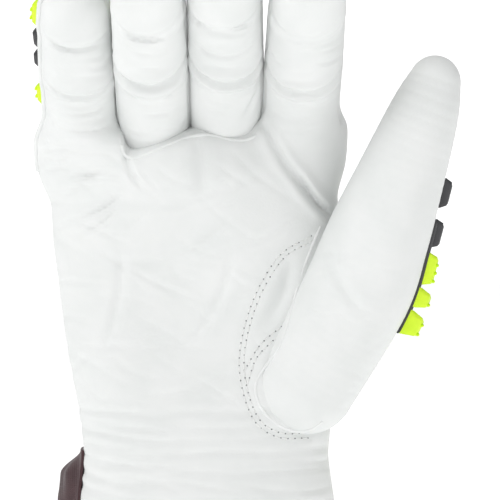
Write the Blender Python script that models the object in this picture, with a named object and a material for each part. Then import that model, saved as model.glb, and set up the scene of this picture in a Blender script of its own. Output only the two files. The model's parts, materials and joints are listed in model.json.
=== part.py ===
"""Right-hand leather work glove with moulded guards on its back, standing on its cuff.

Metres, +Z up from the hem to the fingertips. The palm faces -Y and the thumb is on the +X side.
The origin is under the middle of
the whole glove, level with the hem. Every leather panel is an arc of a tube: an angle of 0 is
the middle of the palm side, 90 the thumb side, 180 the back and 270 the little-finger side.
"""

import math
from dataclasses import dataclass, field, replace

import bmesh
import bpy
from mathutils import Vector

MM = 0.001
LEATHER = 1.2 * MM
GAP = 0.4 * MM
KNIT = 0.8 * MM
SHEET = 0.8 * MM
PAD = 2.6 * MM
BAR = 3.2 * MM
SQUARENESS = 2.35
FINGER_STEP = 15
HAND_STEP = 10
EDGE_GAP = 1.6
X_AXIS = Vector((1, 0, 0))
UP = Vector((0, 0, 1))
TO_PALM = Vector((0, -1, 0))

# The hand and cuff as a tube: height, middle of the width, half width, half depth.
WRIST_Z = 54 * MM
PALM_TOP = 145.5 * MM
BACK_TOP = 150 * MM
HAND_TUBE = (
    (54 * MM, 0, 40 * MM, 24 * MM),
    (70 * MM, 0, 42.5 * MM, 21 * MM),
    (85 * MM, -1.5 * MM, 45 * MM, 19 * MM),
    (100 * MM, -2.3 * MM, 47 * MM, 18 * MM),
    (117 * MM, -3.2 * MM, 48 * MM, 17.5 * MM),
    (134 * MM, -4.5 * MM, 49.6 * MM, 17 * MM),
    (150 * MM, -5.5 * MM, 50.5 * MM, 16.5 * MM),
)
CUFF_TUBE = (
    (0 * MM, 0, 48 * MM, 33 * MM),
    (18 * MM, 0, 45.5 * MM, 30 * MM),
    (36 * MM, 0, 42.5 * MM, 26.5 * MM),
    (53.6 * MM, 0, 40 * MM, 24 * MM),
)
BINDING_HEIGHT = 9 * MM
CUFF_BACK_TOP = 47 * MM
CUFF_BACK_BULGE = 2.2 * MM


@dataclass
class Section:
    """One cross-section of a tube, and how far its rim leans along the tube."""

    middle: Vector
    along: Vector
    across: Vector
    to_palm: Vector
    half_width: float
    half_depth: float
    palm_lean: float = 0.0
    back_lean: float = 0.0
    dome: float = 0.0

    def point(self, degrees, offset):
        """The point of the outline at this angle, grown by the offset."""
        side = rounded(math.sin(math.radians(degrees)))
        front = rounded(math.cos(math.radians(degrees)))
        shrink = math.cos(math.radians(self.dome))
        shift = self.palm_lean * max(front, 0) + self.back_lean * max(-front, 0)
        shift += (self.half_depth + offset) * math.sin(math.radians(self.dome))
        return (
            self.middle
            + self.across * (self.half_width + offset) * side * shrink
            + self.to_palm * (self.half_depth + offset) * front * shrink
            + self.along * shift
        )


@dataclass
class Finger:
    """A finger stall: where it leaves the hand, how it bends and how long its three bones are."""

    name: str
    x: float
    root_y: float
    root_z: float
    half_width: float
    lengths: tuple
    bends: tuple
    strips: tuple = field(default_factory=tuple)

    def direction(self, degrees):
        """Along the finger when it leans this much from upright towards the palm side."""
        lean = math.radians(degrees)
        return Vector((0, -math.sin(lean), math.cos(lean)))

    def root(self):
        return Vector((self.x, self.root_y, self.root_z))

    def middle_joint(self):
        return self.root() + self.direction(self.bends[0]) * self.lengths[0]

    def end_joint(self):
        return self.middle_joint() + self.direction(self.bends[1]) * self.lengths[1]

    def section(self, start, bend, distance, half_width):
        along = self.direction(bend)
        to_palm = Vector((0, -along.z, along.y))
        return Section(
            start + along * distance, along, X_AXIS, to_palm, half_width, half_width * 0.95
        )


FINGERS = (
    Finger("index", 30 * MM, 2 * MM, 151 * MM, 12 * MM, (32 * MM, 23 * MM, 22 * MM),
           (42, 57, 68), ("inner",)),
    Finger("middle", 5.6 * MM, 2 * MM, 152 * MM, 11.6 * MM, (34 * MM, 25 * MM, 22 * MM),
           (42, 57, 68), ("outer", "inner")),
    Finger("ring", -18.2 * MM, 2 * MM, 151 * MM, 11.4 * MM, (32 * MM, 24 * MM, 21 * MM),
           (42, 57, 68), ("outer", "inner")),
    Finger("little", -41.8 * MM, 2 * MM, 148 * MM, 10.8 * MM, (28 * MM, 20 * MM, 20 * MM),
           (30, 43, 54), ("outer",)),
)
PALM_START = 16.5 * MM
BACK_START = 5 * MM
PALM_FOLD = 6.4 * MM
BACK_FOLD = 0.6 * MM
TIP_NARROWING = 0.9

# The thumb: base joint, tip joint, end, and half widths along it.
THUMB_BASE = Vector((37 * MM, -11 * MM, 86 * MM))
THUMB_MIDDLE = Vector((61 * MM, -23 * MM, 138 * MM))
THUMB_END = Vector((75.5 * MM, -27 * MM, 169 * MM))
THUMB_BACK = Vector((0.8, 0.6, 0))
THUMB_HALF_WIDTHS = (16.5 * MM, 17 * MM, 14.4 * MM, 13.4 * MM, 11.8 * MM)
THUMB_START = 13 * MM
THUMB_ROOT_STEPS = (-19 * MM, -15 * MM, -9 * MM, 0 * MM, 8 * MM)
THUMB_ROOT_WIDTHS = (0.5, 0.74, 0.92, 1.0, 1.0)
THUMB_FOLD = 5.2 * MM
THUMB_CLEARANCE = 6.5 * MM


def rounded(value):
    """A circle's sine or cosine, pushed out towards a rounded square."""
    return math.copysign(abs(value) ** (2 / SQUARENESS), value)


def clear_scene():
    for item in list(bpy.data.objects):
        bpy.data.objects.remove(item, do_unlink=True)


def make_material(name, colour, roughness):
    material = bpy.data.materials.new(name)
    material.use_nodes = True
    shader = material.node_tree.nodes["Principled BSDF"]
    shader.inputs["Base Color"].default_value = (*colour, 1)
    shader.inputs["Roughness"].default_value = roughness
    shader.inputs["Metallic"].default_value = 0
    material.diffuse_color = (*colour, 1)
    return material


def make_axis(name, place, parent=None):
    """An empty on a joint's axis, which the pieces that turn about it hang from."""
    axis = bpy.data.objects.new(name, None)
    axis.empty_display_size = 10 * MM
    axis.location = place if parent is None else place - parent.matrix_world.translation
    axis.parent = parent
    bpy.context.scene.collection.objects.link(axis)
    bpy.context.view_layer.update()
    return axis


def finish_object(name, bm, material, axis=None):
    """Turn a bmesh in world places into an object that hangs from its axis."""
    bmesh.ops.recalc_face_normals(bm, faces=bm.faces)
    if axis is not None:
        bmesh.ops.translate(bm, verts=bm.verts, vec=-axis.matrix_world.translation)
    mesh = bpy.data.meshes.new(name)
    bm.to_mesh(mesh)
    bm.free()
    mesh.materials.append(material)
    mesh.shade_smooth()
    mesh.set_sharp_from_angle(angle=math.radians(40))
    item = bpy.data.objects.new(name, mesh)
    item.parent = axis
    bpy.context.scene.collection.objects.link(item)
    return item


def arc_angles(start, stop, step):
    """Angles from start to stop, with every multiple of the step that lies between them."""
    first = math.floor(start / step + 1) * step
    inner = [angle for angle in range(int(first), int(math.ceil(stop)), step)]
    inner = [angle for angle in inner if start + 1 < angle < stop - 1]
    return [start, *inner, stop]


def make_panel(name, sections, arc, offsets, material, axis=None, step=FINGER_STEP):
    """A panel of even thickness over an arc of a tube; a full turn makes a sleeve."""
    ring = arc[1] - arc[0] >= 360
    angles = list(range(0, 360, step)) if ring else arc_angles(*arc, step)
    bm = bmesh.new()
    outer, inner = (
        [[bm.verts.new(part.point(angle, offset)) for angle in angles] for part in sections]
        for offset in (offsets[1], offsets[0])
    )
    count = len(angles)
    for row in range(len(sections) - 1):
        for column in range(count if ring else count - 1):
            after = (column + 1) % count
            for wall in (outer, inner):
                bm.faces.new((wall[row][column], wall[row][after],
                              wall[row + 1][after], wall[row + 1][column]))
    for column in range(count if ring else count - 1):
        after = (column + 1) % count
        for row in (0, -1):
            bm.faces.new((outer[row][column], outer[row][after],
                          inner[row][after], inner[row][column]))
    if not ring:
        for row in range(len(sections) - 1):
            for column in (0, -1):
                bm.faces.new((outer[row][column], outer[row + 1][column],
                              inner[row + 1][column], inner[row][column]))
    return finish_object(name, bm, material, axis)


def tube_section(table, height):
    """The hand's or the cuff's cross-section at this height."""
    for low, high in zip(table, table[1:]):
        if height <= high[0]:
            break
    part = (height - low[0]) / (high[0] - low[0])
    middle, half_width, half_depth = (a + (b - a) * part for a, b in zip(low[1:], high[1:]))
    return Section(Vector((middle, 0, height)), UP, X_AXIS, TO_PALM, half_width, half_depth)


def tube_sections(table, bottom, top):
    """Cross-sections from bottom to top, at both ends and at the table's heights between them."""
    inside = [row[0] for row in table if bottom + MM < row[0] < top - MM]
    return [tube_section(table, height) for height in (bottom, *inside, top)]


def proximal_sections(finger, start=0.0, stop=1.0, trimmed=True):
    """The stall from the hand to its middle joint, cut back so that both joints can bend."""
    parts = []
    for share in (0, 1 / 3, 2 / 3, 1):
        along = start + (stop - start) * share
        part = finger.section(
            finger.root(), finger.bends[0], finger.lengths[0] * along,
            finger.half_width * (1 - 0.04 * along),
        )
        if trimmed:
            reach_palm = PALM_START + (finger.lengths[0] - PALM_FOLD - PALM_START) * along
            reach_back = BACK_START + (finger.lengths[0] - BACK_FOLD - BACK_START) * along
            part.palm_lean = reach_palm - finger.lengths[0] * along
            part.back_lean = reach_back - finger.lengths[0] * along
        parts.append(part)
    return parts


def distal_sections(finger, narrow=TIP_NARROWING):
    """The stall from its middle joint round the closed tip."""
    width = finger.half_width * 0.96
    tip_width = finger.half_width * narrow
    start = finger.section(finger.middle_joint(), finger.bends[1], 0, width)
    start.palm_lean = PALM_FOLD
    start.back_lean = BACK_FOLD
    middle = finger.section(finger.middle_joint(), finger.bends[1],
                            finger.lengths[1] * 0.62, width)
    crease = finger.section(finger.end_joint(), (finger.bends[1] + finger.bends[2]) / 2, 0, width)
    before = finger.lengths[2] - tip_width
    pad = finger.section(finger.end_joint(), finger.bends[2], before, tip_width)
    caps = [replace(pad, dome=angle) for angle in (28, 54, 76)]
    return [start, middle, crease, pad, *caps]


def build_finger(finger, stuff):
    """One finger: palm and back leather, the side strips between them, and the two guards."""
    knuckle = make_axis(f"{finger.name}_knuckle_axis", finger.root())
    bend = make_axis(f"{finger.name}_middle_axis", finger.middle_joint(), knuckle)
    strip = {"inner": (255, 285), "outer": (75, 105)}
    right = 75 if "outer" in finger.strips else 90
    left = 285 if "inner" in finger.strips else 270
    skin = (-LEATHER, 0)
    lower = proximal_sections(finger)
    make_panel(f"{finger.name}_palm_lower", lower,
               (left - 360 + EDGE_GAP, right - EDGE_GAP), skin, stuff["leather"], knuckle)
    right = 105 if "outer" in finger.strips else 90
    left = 255 if "inner" in finger.strips else 270
    make_panel(f"{finger.name}_back_lower", lower,
               (right + EDGE_GAP, left - EDGE_GAP), skin, stuff["leather"], knuckle)
    for side in finger.strips:
        start, stop = strip[side]
        make_panel(f"{finger.name}_side_strip_{side}", lower,
                   (start + EDGE_GAP, stop - EDGE_GAP), skin, stuff["leather"], knuckle)
    upper = distal_sections(finger)
    make_panel(f"{finger.name}_palm_upper", upper, (-90 + EDGE_GAP, 90 - EDGE_GAP),
               skin, stuff["leather"], bend)
    make_panel(f"{finger.name}_back_upper", upper, (90 + EDGE_GAP, 270 - EDGE_GAP),
               skin, stuff["leather"], bend)
    guard = (GAP, GAP + PAD)
    make_panel(f"{finger.name}_guard_lower", proximal_sections(finger, 0.2, 0.92, False),
               (135, 225), guard, stuff["guard"], knuckle)
    make_panel(f"{finger.name}_guard_upper", upper[1:5], (135, 225),
               guard, stuff["hi_vis"], bend)


def thumb_section(start, end, distance, half_width, flatness=0.92):
    along = (end - start).normalized()
    to_palm = -(THUMB_BACK - along * THUMB_BACK.dot(along)).normalized()
    across = to_palm.cross(along)
    return Section(start + along * distance, along, across, to_palm,
                   half_width, half_width * flatness)


def thumb_base_sections(trimmed=True):
    """The thumb from the hand to its own joint."""
    reach = (THUMB_MIDDLE - THUMB_BASE).length
    parts = []
    widths = (*THUMB_HALF_WIDTHS[:2], THUMB_HALF_WIDTHS[2])
    for share, half_width in zip((0.0, 0.5, 1.0), widths):
        distance = THUMB_START + (reach - THUMB_START) * share
        parts.append(thumb_section(THUMB_BASE, THUMB_MIDDLE, distance, half_width))
    if trimmed:
        parts[-1].palm_lean = -THUMB_FOLD
        parts[-1].back_lean = -THUMB_FOLD * 0.45
        parts[-1].middle -= parts[-1].along * 1.2 * MM
    return parts


def thumb_tip_sections():
    """The thumb from its joint round the closed tip."""
    reach = (THUMB_END - THUMB_MIDDLE).length
    start = thumb_section(THUMB_MIDDLE, THUMB_END, 1.2 * MM, THUMB_HALF_WIDTHS[2])
    start.palm_lean = THUMB_FOLD
    start.back_lean = THUMB_FOLD * 0.45
    middle = thumb_section(THUMB_MIDDLE, THUMB_END, reach * 0.5, THUMB_HALF_WIDTHS[3])
    pad = thumb_section(THUMB_MIDDLE, THUMB_END, reach, THUMB_HALF_WIDTHS[4])
    caps = [replace(pad, dome=angle) for angle in (28, 54, 76)]
    return [start, middle, pad, *caps]


def thumb_root_sections():
    """The thumb's rounded lower end, set into the hand and still."""
    parts = []
    for distance, share in zip(THUMB_ROOT_STEPS, THUMB_ROOT_WIDTHS):
        parts.append(thumb_section(THUMB_BASE, THUMB_MIDDLE, distance,
                                   THUMB_HALF_WIDTHS[0] * share))
    return parts


def build_thumb(stuff):
    """The set-in thumb: front and back leather of both lengths, the guard sheet and its pads."""
    base = make_axis("thumb_base_axis", THUMB_BASE)
    tip = make_axis("thumb_tip_axis", THUMB_MIDDLE, base)
    skin = (-LEATHER, 0)
    make_panel("thumb_root", thumb_root_sections(), (0, 360), skin, stuff["leather"])
    halves = {"palm": (-90 + EDGE_GAP, 90 - EDGE_GAP), "back": (90 + EDGE_GAP, 270 - EDGE_GAP)}
    lower = thumb_base_sections()
    upper = thumb_tip_sections()
    for side, arc in halves.items():
        make_panel(f"thumb_{side}_lower", lower, arc, skin, stuff["leather"], base)
        make_panel(f"thumb_{side}_upper", upper, arc, skin, stuff["leather"], tip)
    make_panel("thumb_guard_sheet", lower[:2], (125, 235),
               (GAP, GAP + SHEET), stuff["guard"], base)
    make_panel("thumb_guard_lower", lower[:2], (140, 220),
               (2 * GAP + SHEET, 2 * GAP + SHEET + PAD), stuff["hi_vis"], base)
    make_panel("thumb_guard_upper", upper[1:4], (140, 220),
               (GAP, GAP + PAD), stuff["guard"], tip)


def make_thumb_cutter():
    """The hidden plug that opens the hand where the thumb is set in."""
    along = (THUMB_MIDDLE - THUMB_BASE).normalized()
    radius = THUMB_HALF_WIDTHS[1] + THUMB_CLEARANCE
    bm = bmesh.new()
    bmesh.ops.create_uvsphere(bm, u_segments=20, v_segments=12, radius=radius)
    for vertex in bm.verts:
        if vertex.co.z > 0:
            vertex.co.z += (THUMB_MIDDLE - THUMB_BASE).length
    turn = UP.rotation_difference(along).to_matrix().to_4x4()
    bmesh.ops.transform(bm, matrix=turn, verts=bm.verts)
    bmesh.ops.translate(bm, verts=bm.verts, vec=THUMB_BASE)
    bmesh.ops.recalc_face_normals(bm, faces=bm.faces)
    mesh = bpy.data.meshes.new("thumb_cutter")
    bm.to_mesh(mesh)
    bm.free()
    cutter = bpy.data.objects.new("thumb_cutter", mesh)
    cutter.hide_render = True
    cutter.display_type = "WIRE"
    bpy.context.scene.collection.objects.link(cutter)
    return cutter


def open_for_thumb(item, cutter):
    cut = item.modifiers.new("thumb_opening", "BOOLEAN")
    cut.operation = "DIFFERENCE"
    cut.solver = "EXACT"
    cut.object = cutter


def build_hand(stuff):
    """The hand: palm, back, thumb reinforcement, liner, wrist elastic and the guards behind."""
    cutter = make_thumb_cutter()
    skin = (-LEATHER, 0)
    palm = make_panel("palm_panel", tube_sections(HAND_TUBE, WRIST_Z, PALM_TOP),
                      (-90 + EDGE_GAP, 90 - EDGE_GAP), skin, stuff["leather"], step=HAND_STEP)
    back = make_panel("back_panel", tube_sections(HAND_TUBE, WRIST_Z, BACK_TOP),
                      (90 + EDGE_GAP, 270 - EDGE_GAP), skin, stuff["leather"], step=HAND_STEP)
    patch = make_panel("thumb_crotch_patch", tube_sections(HAND_TUBE, 60 * MM, 124 * MM),
                       (10, 60), (GAP, GAP + LEATHER), stuff["leather"], step=HAND_STEP)
    inside = -LEATHER - 2 * GAP - SHEET
    liner = make_panel("knit_liner", tube_sections(HAND_TUBE, WRIST_Z, 143 * MM),
                       (0, 360), (inside - KNIT, inside), stuff["knit"], step=HAND_STEP)
    for item in (palm, back, patch, liner):
        open_for_thumb(item, cutter)
    make_panel("wrist_elastic", tube_sections(HAND_TUBE, 57 * MM, 69 * MM),
               (120, 240), (-LEATHER - GAP - SHEET, -LEATHER - GAP), stuff["elastic"],
               step=HAND_STEP)
    make_panel("knuckle_guard", tube_sections(HAND_TUBE, 128 * MM, 147 * MM),
               (122, 260), (GAP, GAP + BAR), stuff["guard"], step=HAND_STEP)
    for name, middle, span, material in (
        ("index", 137, 13, "hi_vis"), ("middle", 170, 7, "guard"),
        ("ring", 192, 7, "hi_vis"), ("little", 226, 13, "guard"),
    ):
        make_panel(f"hand_back_guard_{name}", tube_sections(HAND_TUBE, 88 * MM, 125 * MM),
                   (middle - span, middle + span), (GAP, GAP + PAD), stuff[material],
                   step=HAND_STEP)


def build_cuff(stuff):
    """The cuff: palm leather, gathered back cloth, the binding round the hem and the blank label."""
    bottom = BINDING_HEIGHT + GAP
    front = tube_sections(CUFF_TUBE, bottom, WRIST_Z - GAP)
    make_panel("cuff_palm_panel", front, (-84, 84), (-LEATHER, 0), stuff["leather"],
               step=HAND_STEP)
    behind = tube_sections(CUFF_TUBE, bottom, CUFF_BACK_TOP)
    for part in behind[1:-1]:
        part.half_width += CUFF_BACK_BULGE
        part.half_depth += CUFF_BACK_BULGE
    make_panel("cuff_back_panel", behind, (87, 273), (-LEATHER, 0), stuff["brown_cloth"],
               step=HAND_STEP)
    make_panel("cuff_facing", tube_sections(CUFF_TUBE, CUFF_BACK_TOP + GAP, WRIST_Z - GAP),
               (87, 273), (-LEATHER, 0), stuff["elastic"], step=HAND_STEP)
    make_panel("cuff_binding", tube_sections(CUFF_TUBE, 0, BINDING_HEIGHT),
               (0, 360), (-1.8 * LEATHER, 0.8 * LEATHER), stuff["binding"], step=HAND_STEP)
    make_panel("size_label", tube_sections(CUFF_TUBE, 14 * MM, 34 * MM),
               (168, 192), (-LEATHER - GAP - SHEET, -LEATHER - GAP), stuff["label"],
               step=HAND_STEP)


def stand_on_origin():
    """Put the middle of the whole glove's footprint at the origin."""
    bpy.context.view_layer.update()
    solids = [item for item in bpy.data.objects if item.type == "MESH" and not item.hide_render]
    places = [item.matrix_world @ vertex.co for item in solids for vertex in item.data.vertices]
    middle_x = (min(place.x for place in places) + max(place.x for place in places)) / 2
    middle_y = (min(place.y for place in places) + max(place.y for place in places)) / 2
    for item in bpy.data.objects:
        if item.parent is None:
            item.location -= Vector((middle_x, middle_y, 0))


def main():
    clear_scene()
    stuff = {
        "leather": make_material("white_goatskin", (0.86, 0.87, 0.86), 0.6),
        "hi_vis": make_material("yellow_green_rubber", (0.66, 1.0, 0.03), 0.45),
        "guard": make_material("black_rubber", (0.04, 0.04, 0.045), 0.5),
        "brown_cloth": make_material("brown_cuff_cloth", (0.075, 0.035, 0.035), 0.85),
        "knit": make_material("grey_knit", (0.55, 0.56, 0.55), 0.95),
        "elastic": make_material("woven_elastic", (0.8, 0.8, 0.78), 0.9),
        "binding": make_material("cuff_binding_tape", (0.8, 0.8, 0.79), 0.8),
        "label": make_material("blank_label", (0.9, 0.9, 0.88), 0.8),
    }
    build_cuff(stuff)
    build_hand(stuff)
    build_thumb(stuff)
    for finger in FINGERS:
        build_finger(finger, stuff)
    stand_on_origin()


main()
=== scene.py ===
"""A right-hand white goatskin work glove with moulded guards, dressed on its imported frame.

Shapes are worked out in millimetres in the glove's own place: the middle of the cuff hem is at
zero, +Z runs up to the fingertips, the palm faces -Y and the thumb is on the +X side.
"""

import json
import logging
import math
from dataclasses import dataclass, field
from enum import Enum
from typing import Callable

import bmesh
import bpy
import numpy as np
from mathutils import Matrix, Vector


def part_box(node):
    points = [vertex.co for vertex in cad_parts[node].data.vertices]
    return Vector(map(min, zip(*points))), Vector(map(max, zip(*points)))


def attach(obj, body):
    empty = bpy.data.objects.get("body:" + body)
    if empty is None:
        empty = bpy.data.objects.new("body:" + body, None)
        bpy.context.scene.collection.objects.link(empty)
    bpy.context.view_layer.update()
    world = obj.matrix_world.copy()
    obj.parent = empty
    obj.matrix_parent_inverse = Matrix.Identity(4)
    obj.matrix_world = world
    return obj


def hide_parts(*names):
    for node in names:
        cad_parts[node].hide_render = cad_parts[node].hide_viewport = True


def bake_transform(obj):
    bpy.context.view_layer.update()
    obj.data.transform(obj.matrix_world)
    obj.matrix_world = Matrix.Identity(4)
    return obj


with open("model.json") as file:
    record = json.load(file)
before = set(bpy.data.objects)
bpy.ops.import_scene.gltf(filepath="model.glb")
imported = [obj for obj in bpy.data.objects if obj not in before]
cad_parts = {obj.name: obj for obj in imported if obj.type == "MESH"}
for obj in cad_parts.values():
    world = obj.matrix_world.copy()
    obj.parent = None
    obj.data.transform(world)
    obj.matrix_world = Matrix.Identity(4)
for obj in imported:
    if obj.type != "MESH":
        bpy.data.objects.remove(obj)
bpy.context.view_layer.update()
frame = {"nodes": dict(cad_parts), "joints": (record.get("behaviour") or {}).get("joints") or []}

LOG = logging.getLogger("glove")
MM = 0.001
UP = np.array([0.0, 0.0, 1.0])
TO_PALM = np.array([0.0, -1.0, 0.0])
TO_THUMB = np.array([1.0, 0.0, 0.0])
LEATHER_THICKNESS = 1.0
FAR = 60.0

Field = Callable[[np.ndarray], np.ndarray]
Pair = tuple[np.ndarray, np.ndarray]
Sockets = tuple[bpy.types.NodeSocket, bpy.types.NodeSocket]


class Body(str, Enum):
    """The thumb's two bodies."""

    THUMB_LOWER = "thumb_lower"
    THUMB_UPPER = "thumb_upper"


def hem_middle() -> np.ndarray:
    """Return the middle of the cuff's hem in the frame, in millimetres."""
    low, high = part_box("cuff_binding")
    return np.array([(low.x + high.x) / 2, (low.y + high.y) / 2, low.z]) / MM


HEM = hem_middle()


def joint_place(name: str) -> np.ndarray:
    """Return a joint's place in the glove's own millimetres.

    Args:
        name: the joint's name in the frame.

    Returns:
        The point that the joint turns about.
    """
    joint = next(item for item in frame["joints"] if item["name"] == name)
    return np.array(joint["pos_m"]) / MM - HEM


def in_frame(point: np.ndarray) -> tuple[float, float, float]:
    """Return a point of the glove's own millimetres as metres in the frame."""
    return tuple(float(value) for value in (np.asarray(point) + HEM) * MM)


# ---------------------------------------------------------------------------------------------
# Shapes as distance fields
# ---------------------------------------------------------------------------------------------


def unit(vector: np.ndarray) -> np.ndarray:
    """Return the vector at length one."""
    return vector / np.maximum(np.linalg.norm(vector, axis=-1, keepdims=True), 1e-9)


def smooth_union(first: np.ndarray, second: np.ndarray, radius: float) -> np.ndarray:
    """Join two fields with a fillet of about this radius."""
    share = np.clip(0.5 + 0.5 * (second - first) / radius, 0, 1)
    return second * (1 - share) + first * share - radius * share * (1 - share)


def smooth_step(low: float, high: float, value: np.ndarray) -> np.ndarray:
    """Rise from 0 at low to 1 at high, gently at both ends."""
    share = np.clip((value - low) / (high - low), 0, 1)
    return share * share * (3 - 2 * share)


def slope(shape: Field, points: np.ndarray, reach: float = 0.3) -> np.ndarray:
    """Return how a field rises at each point, by central differences."""
    steps = np.eye(3) * reach
    return np.stack(
        [(shape(points + step) - shape(points - step)) / (2 * reach) for step in steps], -1
    )


def settle(points: np.ndarray, base: Field, detailed: Field, passes: int = 3) -> np.ndarray:
    """Move points onto a detailed surface along the plain surface's normals.

    Args:
        points: points near the surface.
        base: the plain field, whose slope gives the way to move.
        detailed: the field with its creases.
        passes: how many times to step.

    Returns:
        The moved points.
    """
    rise = slope(base, points)
    steepness = np.maximum(np.linalg.norm(rise, axis=-1, keepdims=True), 0.35)
    way = unit(rise)
    for _ in range(passes):
        points = points - way * np.clip(detailed(points)[:, None] / steepness, -1.2, 1.2)
    return points


def surface_net(shape: Field, low: np.ndarray, high: np.ndarray, step: float) -> Pair:
    """Mesh the zero surface of a field with one point for each cell that it passes through.

    Args:
        shape: the field, negative inside.
        low: the lowest corner of the space to search.
        high: the highest corner.
        step: the size of a cell.

    Returns:
        The points, and the four point numbers of each face, facing out.
    """
    axes = [np.arange(low[i], high[i] + step, step) for i in range(3)]
    grid = np.stack(np.meshgrid(*axes, indexing="ij"), -1)
    values = shape(grid.reshape(-1, 3)).reshape(grid.shape[:3])
    cells = np.array(values.shape) - 1
    total = np.zeros((cells.prod(), 3))
    count = np.zeros(cells.prod())
    quads = []
    for axis in range(3):
        here = [slice(None)] * 3
        beyond = [slice(None)] * 3
        here[axis] = slice(0, -1)
        beyond[axis] = slice(1, None)
        start, end = values[tuple(here)], values[tuple(beyond)]
        crossing = (start < 0) != (end < 0)
        index = np.argwhere(crossing)
        share = start[crossing] / (start[crossing] - end[crossing])
        points = index * step + np.asarray(low)
        points[:, axis] += share * step
        corners = []
        inside = np.ones(len(index), bool)
        for back, down in ((-1, -1), (0, -1), (0, 0), (-1, 0)):
            cell = index.copy()
            cell[:, (axis + 1) % 3] += back
            cell[:, (axis + 2) % 3] += down
            inside &= ((cell >= 0) & (cell < cells)).all(1)
            corners.append(cell)
        faces = np.stack(
            [np.ravel_multi_index(tuple(cell[inside].T), cells) for cell in corners], 1
        )
        for column in faces.T:
            for side in range(3):
                total[:, side] += np.bincount(column, points[inside][:, side], len(count))
            count += np.bincount(column, minlength=len(count))
        outward = start[crossing][inside] < 0
        faces[~outward] = faces[~outward][:, ::-1]
        quads.append(faces)
    quads = np.concatenate(quads)
    used = np.unique(quads)
    renumber = np.zeros(len(count), int)
    renumber[used] = np.arange(len(used))
    return total[used] / count[used][:, None], renumber[quads]


def march(shape: Field, origins: np.ndarray, ways: np.ndarray, reach: float = 40.0) -> np.ndarray:
    """Find where rays from inside a field leave it.

    Args:
        shape: the field, negative inside.
        origins: where each ray starts.
        ways: the unit direction of each ray.
        reach: the longest way to look.

    Returns:
        The points on the surface.
    """
    near = np.zeros(len(origins))
    far = np.full(len(origins), reach)
    steps = 40
    found = np.zeros(len(origins), bool)
    for number in range(1, steps + 1):
        here = np.full(len(origins), reach * number / steps)
        out = shape(origins + ways * here[:, None]) > 0
        fresh = out & ~found
        far[fresh] = here[fresh]
        near[~out & ~found] = here[~out & ~found]
        found |= out
    for _ in range(14):
        middle = (near + far) / 2
        out = shape(origins + ways * middle[:, None]) > 0
        far = np.where(out, middle, far)
        near = np.where(out, near, middle)
    return origins + ways * ((near + far) / 2)[:, None]


def curve_through(points: np.ndarray, count: int) -> np.ndarray:
    """Return evenly spaced points on a smooth curve through the given ones."""
    points = np.asarray(points, float)
    padded = np.vstack([2 * points[0] - points[1], points, 2 * points[-1] - points[-2]])
    dense = []
    for number in range(1, len(padded) - 2):
        a, b, c, d = padded[number - 1: number + 3]
        share = np.linspace(0, 1, 24, endpoint=False)[:, None]
        dense.append(0.5 * (2 * b + (c - a) * share + (2 * a - 5 * b + 4 * c - d) * share**2
                            + (3 * b - a - 3 * c + d) * share**3))
    dense = np.vstack([*dense, points[-1:]])
    length = np.concatenate([[0], np.cumsum(np.linalg.norm(np.diff(dense, axis=0), axis=1))])
    places = np.linspace(0, length[-1], count)
    return np.stack([np.interp(places, length, dense[:, i]) for i in range(points.shape[1])], 1)


@dataclass
class Crease:
    """One fold line on a leather surface, in the surface's own across and along millimetres."""

    across: float
    along: float
    length: float
    turn: float = 0.0
    bow: float = 0.0
    depth: float = 0.4
    width: float = 0.8
    lips: float = 0.3

    def height(self, across: np.ndarray, along: np.ndarray) -> np.ndarray:
        """Return how far the surface stands out, negative in the fold."""
        turn = math.radians(self.turn)
        right = (across - self.across) * math.cos(turn) + (along - self.along) * math.sin(turn)
        up = (along - self.along) * math.cos(turn) - (across - self.across) * math.sin(turn)
        up = up - self.bow * (2 * right / self.length) ** 2
        fade = np.exp(-((2 * right / self.length) ** 4))
        groove = np.exp(-((up / self.width) ** 2))
        lip = np.exp(-(((np.abs(up) - 2 * self.width) / (1.3 * self.width)) ** 2))
        return fade * self.depth * (self.lips * lip - groove)


def scatter_creases(seed: int, count: int, box: tuple, turn: float = 12.0,
                    length: tuple = (5.0, 14.0), depth: tuple = (0.05, 0.22),
                    width: tuple = (0.75, 1.1)) -> list[Crease]:
    """Spread short fine wrinkles over a patch of leather.

    Args:
        seed: fixes the spread.
        count: how many wrinkles.
        box: across from, across to, along from, along to.
        turn: the most that a wrinkle is turned, in degrees.
        length: the shortest and the longest.
        depth: the shallowest and the deepest.
        width: the narrowest and the widest.

    Returns:
        The wrinkles.
    """
    draw = np.random.default_rng(seed)
    return [
        Crease(draw.uniform(box[0], box[1]), draw.uniform(box[2], box[3]), draw.uniform(*length),
               draw.uniform(-turn, turn), draw.uniform(-1.2, 1.2), draw.uniform(*depth),
               draw.uniform(*width))
        for _ in range(count)
    ]


# ---------------------------------------------------------------------------------------------
# Meshes
# ---------------------------------------------------------------------------------------------


def make_piece(name: str, points: np.ndarray, faces: list, material: bpy.types.Material,
               sharp: float = 50.0) -> bpy.types.Object:
    """Make an object from points in the glove's own millimetres.

    Args:
        name: the piece's name.
        points: its points.
        faces: the point numbers of each face.
        material: its finish.
        sharp: the angle between faces, in degrees, above which an edge is sharp.

    Returns:
        The new object, at the origin.
    """
    mesh = bpy.data.meshes.new(name)
    mesh.from_pydata(((np.asarray(points) + HEM) * MM).tolist(), [],
                     np.asarray(faces).tolist() if isinstance(faces, np.ndarray) else faces)
    mesh.materials.append(material)
    mesh.shade_smooth()
    mesh.set_sharp_from_angle(angle=math.radians(sharp))
    item = bpy.data.objects.new(name, mesh)
    bpy.context.scene.collection.objects.link(item)
    return item


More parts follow.
